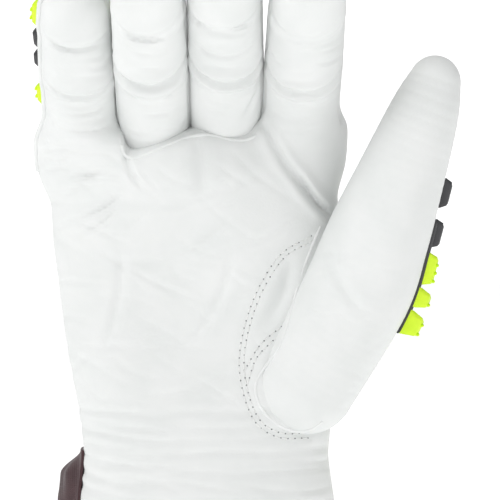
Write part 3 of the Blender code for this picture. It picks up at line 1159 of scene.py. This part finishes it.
@dataclass
class Leather:
    """The white goatskin: palm, back, four fingers and the thumb, cut where the joints bend."""

    hand: HandShape
    fingers: tuple
    thumb: ThumbShape
    step: float = 1.0
    hem: float = 3.0
    thumb_cut: float = 118.0
    web_margin: float = 5.0
    flowing: tuple = ("index", "little")
    slabs: tuple = (16.9, -30.0)

    def finger_bends(self, finger: FingerShape) -> tuple[Bend, Bend]:
        """Return where a finger's lower and upper pieces bend."""
        web = finger.web_way()
        start = finger.root + UP * self.web_margin
        knuckle = Bend("hand", f"{finger.name}_lower", start, start + web * 12)
        mean = unit(finger.ways[0] + finger.ways[1])
        middle = Bend(f"{finger.name}_lower", f"{finger.name}_upper",
                      finger.middle - mean * 7, finger.middle + mean * 7)
        return knuckle, middle

    def finger_pieces(self, finger: FingerShape, net: tuple, shape: Field) -> None:
        """Cut a finger's net at its middle joint into a lower and an upper piece.

        Args:
            finger: the finger.
            net: its points and faces.
            shape: the detailed field of its surface.
        """
        points, faces = net
        centres = points[faces].mean(1)
        lower = finger.along_lower(centres) < finger.reach - 9
        name = finger.name
        nodes = {
            "lower": [f"{name}_palm_lower", f"{name}_back_lower"],
            "upper": [f"{name}_palm_upper", f"{name}_back_upper"],
        }
        nodes["lower"] += [f"{name}_side_strip_{side}" for side in ("inner", "outer")
                           if f"{name}_side_strip_{side}" in frame["nodes"]]
        for part, keep, bend in zip(("lower", "upper"), (lower, ~lower),
                                    self.finger_bends(finger)):
            item = make_shell(f"{name}_leather_{part}", take_faces(points, faces, keep), shape,
                              LEATHER)
            bend.carry(item, LEATHER)
            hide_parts(*nodes[part])

    def build_hand(self) -> None:
        """Make the palm and back, and the index and little fingers that flow into them."""
        low, high = np.array([-64.0, -85.0, -2.0]), np.array([54.0, 40.0, 226.0])
        points, faces = surface_net(self.hand.plain, low, high, self.step)
        points = settle(points, self.hand.plain, self.hand.detailed)
        centres = points[faces].mean(1)
        left = centres[:, 2] > self.hem
        for finger in self.hand.fingers:
            side = centres[:, 0] - (self.slabs[0] if finger.name == "index" else self.slabs[1])
            inside = side > 0 if finger.name == "index" else side < 0
            taken = (finger.above_web(centres) > 0) & inside
            self.finger_pieces(finger, take_faces(points, faces, taken), self.hand.detailed)
            left &= ~taken
        palm = left & (centres[:, 1] <= self.hand.side_seam)
        back = left & ~palm & (centres[:, 2] > self.hand.back_hem)
        item = make_shell("palm_leather", take_faces(points, faces, palm), self.hand.detailed,
                          LEATHER)
        dress(item, "hand")
        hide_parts("palm_panel", "cuff_palm_panel", "thumb_crotch_patch")
        item = make_shell("back_leather", take_faces(points, faces, back), self.hand.detailed,
                          LEATHER)
        dress(item, "hand")
        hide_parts("back_panel")

    def build_fingers(self) -> None:
        """Make the middle and ring fingers, which stand behind the palm's top seam."""
        for finger in self.fingers:
            if finger.name in self.flowing:
                continue
            corners = [finger.root, finger.middle, finger.end, finger.tip]
            points, faces = surface_net(finger.close_field,
                                        *cover(corners, finger.radius + 4), self.step)
            points = settle(points, finger.close_field, finger.detailed)
            self.finger_pieces(finger, (points, faces), finger.detailed)

    def build_thumb(self) -> None:
        """Make the thumb in a lower and an upper piece."""
        points, faces = surface_net(self.thumb.field, *cover(self.thumb.line, 20), self.step)
        points = settle(points, self.thumb.field, self.thumb.detailed)
        centres = points[faces].mean(1)
        lower = centres[:, 2] < self.thumb_cut
        base, tip = joint_place("thumb_base"), joint_place("thumb_tip")
        way = unit(tip - base)
        last = unit(self.thumb.line[-1] - tip)
        mean = unit(way + last)
        bends = (Bend("hand", Body.THUMB_LOWER.value, base - way * 2, base + way * 14),
                 Bend(Body.THUMB_LOWER.value, Body.THUMB_UPPER.value, tip - mean * 8,
                      tip + mean * 8))
        nodes = (("thumb_root", "thumb_palm_lower", "thumb_back_lower"),
                 ("thumb_palm_upper", "thumb_back_upper"))
        for part, keep, bend, hidden in zip(("lower", "upper"), (lower, ~lower), bends, nodes):
            item = make_shell(f"thumb_leather_{part}", take_faces(points, faces, keep),
                              self.thumb.detailed, LEATHER)
            bend.carry(item, LEATHER)
            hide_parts(*hidden)

    def build(self) -> None:
        """Make every leather piece."""
        self.build_hand()
        self.build_fingers()
        self.build_thumb()


@dataclass
class Seams:
    """The raised seams and the rows of stitches on the palm."""

    leather: Leather
    outer_row: tuple = ((34, 122), (23, 115), (14, 99), (10, 80), (14, 63), (22, 56), (33, 55))
    branches: tuple = (((24, 92), (17, 86), (12, 78)), ((23, 89), (16, 82), (13, 74)))
    thumb_seam: tuple = ((37, 125), (31, 110), (24, 87), (15.5, 73), (20, 62), (31, 57.5),
                         (42, 65))
    pitch: float = 2.5
    row_gap: float = 1.6

    def inner_row(self) -> np.ndarray:
        """Return the second row of stitches, nearer the thumb."""
        row = curve_through(self.outer_row, 60)
        way = unit(np.gradient(row, axis=0))
        return row + self.row_gap * np.column_stack([-way[:, 1], way[:, 0]])

    def rows(self) -> list[np.ndarray]:
        """Return every row of stitches, across and up."""
        outer = curve_through(self.outer_row, 60)
        return [outer, self.inner_row(), *(curve_through(line, 24) for line in self.branches)]

    def on_palm(self, row: np.ndarray, shape: Field) -> np.ndarray:
        """Return a row's points on the palm side of a surface."""
        origins = np.column_stack([row[:, 0], np.full(len(row), -7.0), row[:, 1]])
        kept = shape(origins) < 0
        origins = origins[kept]
        return march(shape, origins, np.broadcast_to(TO_PALM, origins.shape))

    def build(self) -> None:
        """Make the beads, the piping and the stitches."""
        hand, thumb = self.leather.hand, self.leather.thumb
        rows = [self.on_palm(row, hand.detailed) for row in self.rows()]
        thread = Marks(self.pitch, 1.9, 0.55, 0.5, THREAD, 6, 0.05, 0.5)
        # The dots between the stitches are painted shade for the needle holes. They are not a
        # colour of the leather.
        hole_shade = Marks(self.pitch, 0.6, 0.6, 0.3, HOLE_SHADE, 6, 0.02)
        for name, kind in (("palm_stitches", thread), ("palm_needle_holes", hole_shade)):
            dress(kind.rows(name, hand.plain, rows), "hand")

        def both(points: np.ndarray) -> np.ndarray:
            """Return the distance to the hand and the thumb together."""
            return np.minimum(hand.plain(points), thumb.field(points))

        seam = self.on_palm(curve_through(self.thumb_seam, 110), both)
        bead = tube_along("thumb_seam_bead", curve_through(seam[::6], 120) - TO_PALM * 0.25,
                          0.55, EDGE.material())
        dress(bead, "hand")
        line = self.on_palm(hand.top_line, hand.plain)
        line = curve_through(line[::4], 90) - TO_PALM * 0.35
        dress(tube_along("palm_top_seam", line, 0.7, LEATHER.material()), "hand")
        self.build_piping()

    def build_piping(self) -> None:
        """Make the turned seam on the outer side of the little finger."""
        little = self.leather.fingers[-1]
        chain = curve_through([little.root - UP * 4, little.root + little.ways[0] * 4,
                               little.middle, little.end, little.tip], 90)
        tilt = math.radians(16)
        side = -TO_THUMB * math.cos(tilt) + TO_PALM * math.sin(tilt)
        walked = np.linspace(0, 1, len(chain))[:, None]
        turn = smooth_step(0.86, 1.0, walked) * math.radians(80)
        ways = side * np.cos(turn) + little.ways[2] * np.sin(turn)
        line = march(self.leather.hand.plain, chain, ways)
        cut = int(np.argmin(np.abs(little.along_lower(chain) - (little.reach - 9))))
        bends = self.leather.finger_bends(little)
        for part, points, bend in (("lower", line[:cut + 1], bends[0]),
                                   ("upper", line[cut:], bends[1])):
            bead = tube_along(f"little_piping_{part}", points, 1.05, LEATHER.material())
            bend.carry(bead, LEATHER)


@dataclass(frozen=True)
class Pad:
    """One moulded block of a guard: where it lies, how wide and how high it stands."""

    low: float
    high: float
    half: float
    lift: float
    finish: Finish
    ribs: bool = False
    turn: float = 0.0


@dataclass
class Guards:
    """The moulded guards on the backs of the fingers, the thumb and the hand."""

    leather: Leather
    edge: float = 1.5
    sunk: float = 0.6
    cell: float = 0.8
    sheet_lift: float = 0.9
    thumb_side: float = 36.0
    rib: Marks = Marks(1.4, 2.6, 1.3, 1.1, HI_VIS, 8)

    def pad(self, name: str, shape: Field, rays: Callable, pad: Pad, width: float) -> tuple:
        """Make one block that lies on a surface.

        Args:
            name: the piece's name.
            shape: the field of the surface under it.
            rays: gives the origins and ways for places along and across, both from rays that
                start inside.
            pad: the block.
            width: how wide it is, in millimetres.

        Returns:
            The block, and the lines across its top that carry its ribs.
        """
        rows = max(6, int((pad.high - pad.low) / self.cell))
        columns = max(8, int(width / self.cell))
        u, v = np.meshgrid(np.linspace(0, 1, rows), np.linspace(0, 1, columns), indexing="ij")
        border = np.minimum(np.minimum(u, 1 - u) * (pad.high - pad.low),
                            np.minimum(v, 1 - v) * width)
        origins, ways = rays(pad.low + (pad.high - pad.low) * u.ravel(),
                             (2 * v.ravel() - 1) * pad.half)
        under = march(shape, origins, ways)
        out = unit(slope(shape, under, 0.8))
        share = np.sqrt(np.clip(border.ravel() / self.edge, 0, 1))
        height = pad.lift * (0.3 + 0.7 * share) * (1 - 0.12 * (2 * v.ravel() - 1) ** 2)
        top = under + out * height[:, None]
        points = np.vstack([top, under - out * self.sunk])
        item = make_piece(name, points, block_faces(rows, columns), pad.finish.material(), 70)
        face_outwards(item)
        grid = top.reshape(rows, columns, 3)
        return item, [grid[row, 2:-2] for row in range(2, rows - 2, 3)]

    def finger_rays(self, finger: FingerShape, turn: float) -> Callable:
        """Return the rays from a finger's bones towards its back, turned outwards."""
        chain = np.array([finger.root, finger.middle, finger.end, finger.tip])
        length = np.concatenate([[0], np.cumsum(np.linalg.norm(np.diff(chain, axis=0), axis=1))])
        backs = np.array([behind(way) for way in (finger.ways[0], *finger.ways)])
        backs[1] = behind(unit(finger.ways[0] + finger.ways[1]))

        def rays(along: np.ndarray, angle: np.ndarray) -> Pair:
            """Return origins and ways for places along the finger and degrees round it."""
            origins = np.stack([np.interp(along, length, chain[:, i]) for i in range(3)], 1)
            back = unit(np.stack([np.interp(along, length, backs[:, i]) for i in range(3)], 1))
            round_it = np.radians(angle + turn)[:, None]
            origins[:, 0] += finger.sideways(origins)
            return origins, back * np.cos(round_it) + TO_THUMB * np.sin(round_it)

        return rays

    def build_finger(self, finger: FingerShape) -> None:
        """Make a finger's lower and upper guards."""
        outward = -46.0 if finger.name == "little" else 0.0
        rays = self.finger_rays(finger, outward)
        base_rays = self.finger_rays(finger, outward / 3)
        shape = finger.field
        top = finger.reach + finger.lengths[0]
        foot = 13.0
        parts = {
            "lower": (Pad(foot, finger.reach - 1.5, 44, self.sheet_lift, BLACK),
                      Pad(foot + 1, foot + 6, 38, 2.8, BLACK),
                      Pad(foot + 7.5, finger.reach - 1, 40, 3.2, HI_VIS, True)),
            "upper": (Pad(finger.reach + 5.6, top + 10, 50, self.sheet_lift, BLACK),
                      Pad(finger.reach + 6.4, finger.reach + 12, 42, 3.8, BLACK),
                      Pad(finger.reach + 13.5, finger.reach + 20, 40, 3.8, BLACK),
                      Pad(finger.reach + 21.5, top + 9, 38, 4.0, HI_VIS, True)),
        }
        for part, pads in parts.items():
            for number, pad in enumerate(pads):
                name = f"{finger.name}_pad_{part}_{('base', 'a', 'b', 'c')[number]}"
                width = 2 * math.radians(pad.half) * finger.radius
                lowest = part == "lower" and number < 2
                item, ribs = self.pad(name, shape, base_rays if lowest else rays, pad, width)
                dress(item, f"{finger.name}_{part}")
                if number == 0:
                    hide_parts(f"{finger.name}_guard_{part}")
                if pad.ribs:
                    item = self.rib.rows(f"{name}_ribs", shape, ribs)
                    dress(item, f"{finger.name}_{part}")

    def build_thumb(self) -> None:
        """Make the thumb's sheet, its four lower blocks and its one upper block."""
        thumb = self.leather.thumb
        order = thumb.line[:, 2]
        outer = self.thumb_side

        def rays(height: np.ndarray, angle: np.ndarray) -> Pair:
            """Return origins and ways for heights up the thumb and degrees round it."""
            origins = np.stack([np.interp(height, order, thumb.line[:, i]) for i in range(3)], 1)
            back = unit(np.stack([np.interp(height, order, thumb.backs[:, i])
                                  for i in range(3)], 1))
            side = np.column_stack([-back[:, 1], back[:, 0], 0 * height])
            round_it = np.radians(angle + outer - np.interp(height, order, thumb.angles))
            round_it = round_it[:, None]
            return origins, back * np.cos(round_it) + side * np.sin(round_it)

        lower, upper = Body.THUMB_LOWER.value, Body.THUMB_UPPER.value
        blocks = (
            ("base", lower, Pad(90, 127, 46, 1.6, BLACK), "thumb_guard_sheet"),
            ("lower_a", lower, Pad(90.5, 98, 44, 7.4, HI_VIS, True), "thumb_guard_lower"),
            ("lower_b", lower, Pad(99, 105.3, 44, 6.6, HI_VIS, True), None),
            ("lower_c", lower, Pad(106.3, 116.8, 42, 5.8, HI_VIS, True), None),
            ("lower_d", lower, Pad(118.4, 127.6, 40, 4.6, BLACK), None),
            ("upper_a", upper, Pad(131.4, 141, 36, 4.4, BLACK), "thumb_guard_upper"),
        )
        for part, body, pad, node in blocks:
            name = f"thumb_pad_{part}"
            width = 2 * math.radians(pad.half) * 15
            item, ribs = self.pad(name, thumb.field, rays, pad, width)
            dress(item, body)
            if node:
                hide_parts(node)
            if pad.ribs:
                item = self.rib.rows(f"{name}_ribs", thumb.field, ribs)
                dress(item, body)

    def hand_rays(self, across: float, slant: float) -> Callable:
        """Return the rays from inside the hand towards its back, round a middle line."""

        def rays(height: np.ndarray, side: np.ndarray) -> Pair:
            """Return origins and ways for heights and millimetres across."""
            place = across + side + slant * (height - 106)
            origins = np.column_stack([place, np.zeros(len(side)), height])
            return origins, np.broadcast_to(-TO_PALM, origins.shape)

        return rays

    def build_hand(self) -> None:
        """Make the knuckle guard and the four guards down the hand's back."""
        shape = self.leather.hand.plain
        middles = {"index": 31.5, "middle": 7.8, "ring": -15.6, "little": -38.6}
        for name, across in middles.items():
            rays = self.hand_rays(across, 0.02 if across > 0 else -0.02)
            for number, (low, high, finish) in enumerate(
                    ((88, 99, BLACK), (100.5, 112, HI_VIS), (113.5, 125, BLACK))):
                pad = Pad(low, high, 7.4, 3.6, finish, finish is HI_VIS)
                title = f"hand_back_guard_{name}_{'abc'[number]}"
                item, ribs = self.pad(title, shape, rays, pad, 14.8)
                dress(item, "hand")
                if number == 0:
                    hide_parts(f"hand_back_guard_{name}")
                if pad.ribs:
                    item = self.rib.rows(f"{title}_ribs", shape, ribs)
                    dress(item, "hand")
            rays = self.hand_rays(across - 0.4, 0.0)
            pad = Pad(129.5, 145.5, 9.2, 5.2, HI_VIS if name in ("index", "ring") else BLACK)
            item, _ = self.pad(f"knuckle_guard_{name}", shape, rays, pad, 18.4)
            dress(item, "hand")
        rays = self.hand_rays(-4.0, 0.0)
        item, _ = self.pad("knuckle_guard_sheet", shape, rays,
                           Pad(127.5, 147, 44.5, 1.2, BLACK), 89)
        dress(item, "hand")
        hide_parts("knuckle_guard")

    def build(self) -> None:
        """Make every guard."""
        for finger in self.leather.fingers:
            self.build_finger(finger)
        self.build_thumb()
        self.build_hand()


@dataclass
class Cuff:
    """The gathered cloth back of the cuff, its elastic, facing, hem binding and label."""

    hand: HandShape
    top: float = 50.0
    bottom: float = 5.0
    bulge: float = 6.2
    pleats: int = 19
    pleat_depth: float = 0.8
    elastic_height: float = 23.0
    cloth_cut: tuple[float, float] = (0.166, 0.045)

    def band(self, name: str, degrees: tuple, heights: tuple, lift: Callable, thickness: float,
             finish: Finish, cell: float = 1.4) -> bpy.types.Object:
        """Make a closed band round the cuff.

        Args:
            name: the piece's name.
            degrees: where it starts and ends, counted from the thumb side over the back.
            heights: where it starts and ends, up from the hem.
            lift: gives its height off the cuff from the degrees and heights.
            thickness: how thick it is.
            finish: its finish.
            cell: the size of its faces.

        Returns:
            The band.
        """
        columns = int((degrees[1] - degrees[0]) / 1.1)
        rows = max(4, int((heights[1] - heights[0]) / cell))
        up, turn = np.meshgrid(np.linspace(*heights, rows), np.linspace(*degrees, columns),
                               indexing="ij")
        up, turn = up.ravel(), turn.ravel()
        middle = self.hand.measures(up)[0]
        origins = np.column_stack([middle, 0 * up, up])
        ways = np.column_stack([np.cos(np.radians(turn)), np.sin(np.radians(turn)), 0 * up])
        wall = march(self.hand.tube, origins, ways, 70)
        off = lift(turn, up)[:, None]
        points = np.vstack([wall + ways * off, wall + ways * (off - thickness)])
        item = make_piece(name, points, block_faces(rows, columns), finish.material(), 60)
        return face_outwards(item)

    def gathered(self, turn: np.ndarray, up: np.ndarray) -> np.ndarray:
        """Return how far the gathered cloth stands off the cuff."""
        rise = smooth_step(self.top, self.top - 9, up) * smooth_step(12, 42, turn)
        rise = rise * smooth_step(189.5, 180, turn)
        pinch = 0.55 * np.exp(-(((up - self.elastic_height) / 4) ** 2))
        wave = np.sin(np.radians(turn) * self.pleats + 0.7 * np.sin(up / 5))
        wave = wave + 0.5 * np.sin(np.radians(turn) * self.pleats * 2.3 + up / 7)
        foot = smooth_step(self.bottom, 15, up)
        tucked = 2.5 * (1 - smooth_step(2, 13, turn))
        return 1.2 - tucked + rise * foot * (self.bulge * (1 - pinch) + self.pleat_depth * wave)

    def build_binding(self) -> None:
        """Make the tape folded over the whole hem, with its stitches."""
        count, ring = 220, 16
        turn = np.linspace(0, 2 * math.pi, count, endpoint=False)
        origins = np.column_stack([0 * turn, 0 * turn, np.full(count, 4.0)])
        ways = np.column_stack([np.cos(turn), np.sin(turn), 0 * turn])
        wall = march(self.hand.tube, origins, ways, 70)
        back = smooth_step(-0.1, 0.15, ways[:, 1]) * 1.2
        round_it = np.linspace(0, 2 * math.pi, ring, endpoint=False)
        sizes = np.sign(np.cos(round_it)) * np.abs(np.cos(round_it)) ** 0.6
        tall = np.sign(np.sin(round_it)) * np.abs(np.sin(round_it)) ** 0.5
        points = (wall[:, None] + ways[:, None] * (0.2 + back[:, None] + 1.5 * sizes)[..., None]
                  + UP * (0.5 + 4.0 * tall)[None, :, None])
        points = points.reshape(-1, 3)
        faces = []
        for place in range(count):
            after = (place + 1) % count
            for number in range(ring):
                step = (number + 1) % ring
                faces.append((place * ring + number, after * ring + number,
                              after * ring + step, place * ring + step))
        item = face_outwards(make_piece("hem_binding", points, faces, TAPE.material(), 60))
        dress(item, "hand")
        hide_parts("cuff_binding")
        line = wall + ways * (1.7 + back)[:, None] + UP * 2.4
        line = np.vstack([line, line[:2]])
        stitches = Marks(2.6, 1.9, 0.5, 0.45, THREAD, 6).rows("hem_stitches", self.hand.tube,
                                                              [line])
        dress(stitches, "hand")

    def build(self) -> None:
        """Make every cuff piece."""
        item = self.band("cuff_back_cloth", (-4, 189), (self.bottom, self.top), self.gathered,
                         0.9, BROWN, 1.0)
        dress(item, "hand")
        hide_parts("cuff_back_panel")
        item = self.band("cuff_facing_leather", (-4, 184), (46.5, 54), lambda turn, up:
                         -1.3 + 0 * up, 0.9, EDGE)
        dress(item, "hand")
        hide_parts("cuff_facing")
        item = self.band("wrist_elastic_band", (4, 176), (17, 29), lambda turn, up:
                         -0.9 + 0.3 * np.sin(np.radians(turn) * 40), 0.8, ELASTIC)
        dress(item, "hand")
        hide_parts("wrist_elastic")
        item = self.band("blank_size_label", (80, 104), (6, 20), lambda turn, up:
                         -2.2 + 0 * up, 0.5, LABEL)
        dress(item, "hand")
        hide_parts("size_label")
        self.build_binding()


@dataclass
class Lining:
    """The knitted lining inside the hand."""

    hand: HandShape
    inset: float = 2.4
    step: float = 2.4

    def inside(self, points: np.ndarray) -> np.ndarray:
        """Return the distance to the lining's outer side."""
        return self.hand.tube(points) - self.hand.hollow(points) + self.inset

    def build(self) -> None:
        """Make the lining as an open pocket."""
        points, faces = surface_net(self.inside, np.array([-58.0, -34.0, 20.0]),
                                    np.array([52.0, 34.0, 150.0]), self.step)
        centres = points[faces].mean(1)
        points, faces = take_faces(points, faces, (centres[:, 2] > 30) & (centres[:, 2] < 143))
        item = make_shell("knit_lining", (points, faces), self.inside, KNIT, 0.8)
        dress(item, "hand")
        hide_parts("knit_liner")


@dataclass
class Studio:
    """The camera, the lights and the pale floor."""

    eye: tuple = (13.6, -600.0, 117.3)
    wide: float = 170.0
    nearest: float = 0.05
    sky: float = 1.25
    side: float = 0.6
    front: float = 0.41
    front_to_side: tuple = (-0.3, 0.85)
    side_to_sky: tuple = (0.86, 0.965)
    lamps: tuple = (("key", (-0.55, -0.5, 0.85), 4.3, 0.45), ("fill", (0.7, -0.6, 0.3), 0.9, 0.8))
    aim: tuple = (0, 0, 0.12)
    floor_reach: float = 6.0
    floor_drop: float = 0.0005
    floor_tone: float = 0.9
    floor_glow: float = 0.6

    def build(self) -> None:
        """Set the camera, the world, the two lights and the floor."""
        bpy.context.scene.view_settings.view_transform = "Standard"
        self.build_camera()
        self.build_world()
        self.build_lamps()
        self.build_floor()

    def build_camera(self) -> None:
        """Set the camera level with the palm, in front of it."""
        lens = bpy.data.cameras.new("camera")
        lens.lens = lens.sensor_width * abs(self.eye[1]) / self.wide
        lens.clip_start = self.nearest
        camera = bpy.data.objects.new("camera", lens)
        bpy.context.scene.collection.objects.link(camera)
        camera.location = in_frame(self.eye)
        camera.rotation_euler = (math.pi / 2, 0, 0)
        bpy.context.scene.camera = camera

    def build_world(self) -> None:
        """Make a white world that brightens from the front to the sides, and most at the back."""
        world = bpy.data.worlds.new("studio")
        world.use_nodes = True
        sky = world.node_tree.nodes["Background"]
        sky.inputs["Color"].default_value = (1, 1, 1, 1)
        way = add_node(world.node_tree, "ShaderNodeTexCoord")
        split = add_node(world.node_tree, "ShaderNodeSeparateXYZ")
        level = add_node(world.node_tree, "ShaderNodeMapRange", in_1=self.front_to_side[0],
                         in_2=self.front_to_side[1], in_3=self.front, in_4=self.side)
        backdrop = add_node(world.node_tree, "ShaderNodeMapRange", in_1=self.side_to_sky[0],
                            in_2=self.side_to_sky[1], in_3=0.0, in_4=self.sky - self.side)
        both = add_node(world.node_tree, "ShaderNodeMath", operation="ADD")
        world.node_tree.links.new(way.outputs["Generated"], split.inputs[0])
        world.node_tree.links.new(split.outputs["Y"], level.inputs[0])
        world.node_tree.links.new(split.outputs["Y"], backdrop.inputs[0])
        world.node_tree.links.new(level.outputs[0], both.inputs[0])
        world.node_tree.links.new(backdrop.outputs[0], both.inputs[1])
        world.node_tree.links.new(both.outputs[0], sky.inputs["Strength"])
        bpy.context.scene.world = world

    def build_lamps(self) -> None:
        """Set the two soft lights, turned to the middle of the glove."""
        for name, place, energy, size in self.lamps:
            light = bpy.data.lights.new(name, "AREA")
            light.energy, light.size = energy, size
            lamp = bpy.data.objects.new(name, light)
            bpy.context.scene.collection.objects.link(lamp)
            lamp.location = place
            way = Vector(self.aim) - Vector(place)
            lamp.rotation_euler = way.to_track_quat("-Z", "Y").to_euler()

    def build_floor(self) -> None:
        """Make the pale floor, which glows a little."""
        side, low = self.floor_reach, -self.floor_drop
        mesh = bpy.data.meshes.new("floor")
        mesh.from_pydata([(-side, -side, low), (side, -side, low), (side, side, low),
                          (-side, side, low)], [], [(0, 1, 2, 3)])
        material = bpy.data.materials.new("studio_floor")
        material.use_nodes = True
        shader = material.node_tree.nodes["Principled BSDF"]
        shader.inputs["Base Color"].default_value = (*[self.floor_tone] * 3, 1)
        shader.inputs["Roughness"].default_value = 1.0
        shader.inputs["Specular IOR Level"].default_value = 0.0
        shader.inputs["Emission Color"].default_value = (1, 1, 1, 1)
        shader.inputs["Emission Strength"].default_value = self.floor_glow
        mesh.materials.append(material)
        floor = bpy.data.objects.new("floor", mesh)
        bpy.context.scene.collection.objects.link(floor)


def make_fingers() -> tuple:
    """Return the four finger stalls, from the index to the little one."""
    index = FingerShape("index", 11.9, (25, 26), (48, 56), 3, spread=1.08, drift=1.5, folds=(
        Crease(0, 36, 27, 0, 4.5, 2.1, 1.4, 0.45), Crease(1, 29.5, 22, 2, 2.5, 0.45, 0.8),
        Crease(8, 47, 9, -14, 0, 0.4, 0.7), Crease(8, 52, 8, -10, 0, 0.35, 0.7),
        Crease(-2, 60, 24, 0, 4, 0.8, 1.7, 0.4)))
    middle = FingerShape("middle", 11.75, (27, 26), (48, 56), 4, spread=1.06, folds=(
        Crease(0, 38.5, 27, -3, 4.5, 2.1, 1.4, 0.45), Crease(6, 32, 14, 8, 2, 0.7, 0.9),
        Crease(9, 25, 9, 55, 0, 0.7, 1.0), Crease(-2, 61, 26, 0, 4, 0.9, 1.8, 0.5),
        Crease(0, 50, 20, 0, 2.5, 0.5, 0.8)))
    ring = FingerShape("ring", 11.5, (26, 27), (48, 56), 5, spread=1.08, shift=-0.3, drift=0.0,
                       folds=(
        Crease(-1, 38.5, 27, 3, 4.5, 2.2, 1.5, 0.45), Crease(0, 32, 20, 0, 3, 0.6, 0.9),
        Crease(-2, 60, 26, 0, 4, 0.9, 1.8, 0.5)))
    little = FingerShape("little", 10.9, (21, 20), (38, 46), 6, spread=1.15, shift=-1.2,
                         drift=0.4, folds=(
        Crease(0, 31, 24, 0, 3.2, 1.2, 1.1, 0.4), Crease(0, 16, 22, -4, 2.5, 0.4, 0.8),
        Crease(0, 9, 22, -6, 2.0, 0.4, 0.8), Crease(0, 22, 20, 3, 2, 0.35, 0.7),
        Crease(0, 50, 22, 0, 3, 0.6, 1.6, 0.4)))
    return index, middle, ring, little


def palm_creases() -> list[Crease]:
    """Return the folds of the palm, the wrist and the web by the thumb."""
    return [
        Crease(24, 148, 28, -58, 1.5, 1.1, 1.3, 0.5), Crease(34, 135, 18, -50, 1.0, 1.4, 1.4),
        Crease(-26, 144, 13, -64, 0.5, 0.9, 1.0), Crease(-2.5, 146, 18, 95, 0.5, 1.2, 2.4, 0.2),
        Crease(-35, 131, 16, 30, 1.0, 0.6, 0.9), Crease(-36, 126, 14, 32, 1.0, 0.5, 0.8),
        Crease(24, 102, 22, 66, 1.5, 1.0, 2.4, 0.3), Crease(-8, 116, 38, 24, 5, 0.7, 1.7),
        Crease(2, 98, 32, 60, 3, 0.6, 1.6), Crease(-30, 100, 34, 80, 2, 0.5, 1.5),
        Crease(-12, 133, 40, 6, 4, 0.5, 1.6), Crease(-4, 72, 26, 20, 2, 0.4, 1.3),
        *scatter_creases(11, 60, (-45, 40, 30, 66), 8, (14, 44), (0.1, 0.3), (0.8, 1.3)),
        *scatter_creases(12, 70, (-50, 20, 66, 148), 45, (8, 26), (0.06, 0.22), (0.8, 1.3)),
        *scatter_creases(13, 26, (-52, -34, 134, 152), 8, (7, 16), (0.1, 0.3), (0.8, 1.1)),
    ]


def main() -> None:
    """Build the glove's pieces in order and report each."""
    logging.basicConfig(level=logging.INFO, format="%(message)s")
    fingers = make_fingers()
    hand = HandShape(fingers=(fingers[0], fingers[3]), creases=palm_creases())
    thumb = ThumbShape(creases=[Crease(43, 107, 22, -62, 1.5, 0.5, 1.6, 0.4),
                                *scatter_creases(14, 30, (30, 60, 62, 130), 40, (8, 20),
                                                 (0.03, 0.12), (0.6, 1.2))])
    leather = Leather(hand, fingers, thumb)
    seams = Seams(leather)
    hand.lines += [(row, -0.28, 1.1) for row in seams.rows()]
    leather.build()
    seams.build()
    Guards(leather).build()
    Cuff(hand).build()
    Lining(hand).build()
    Studio().build()


if __name__ == "__main__":
    main()
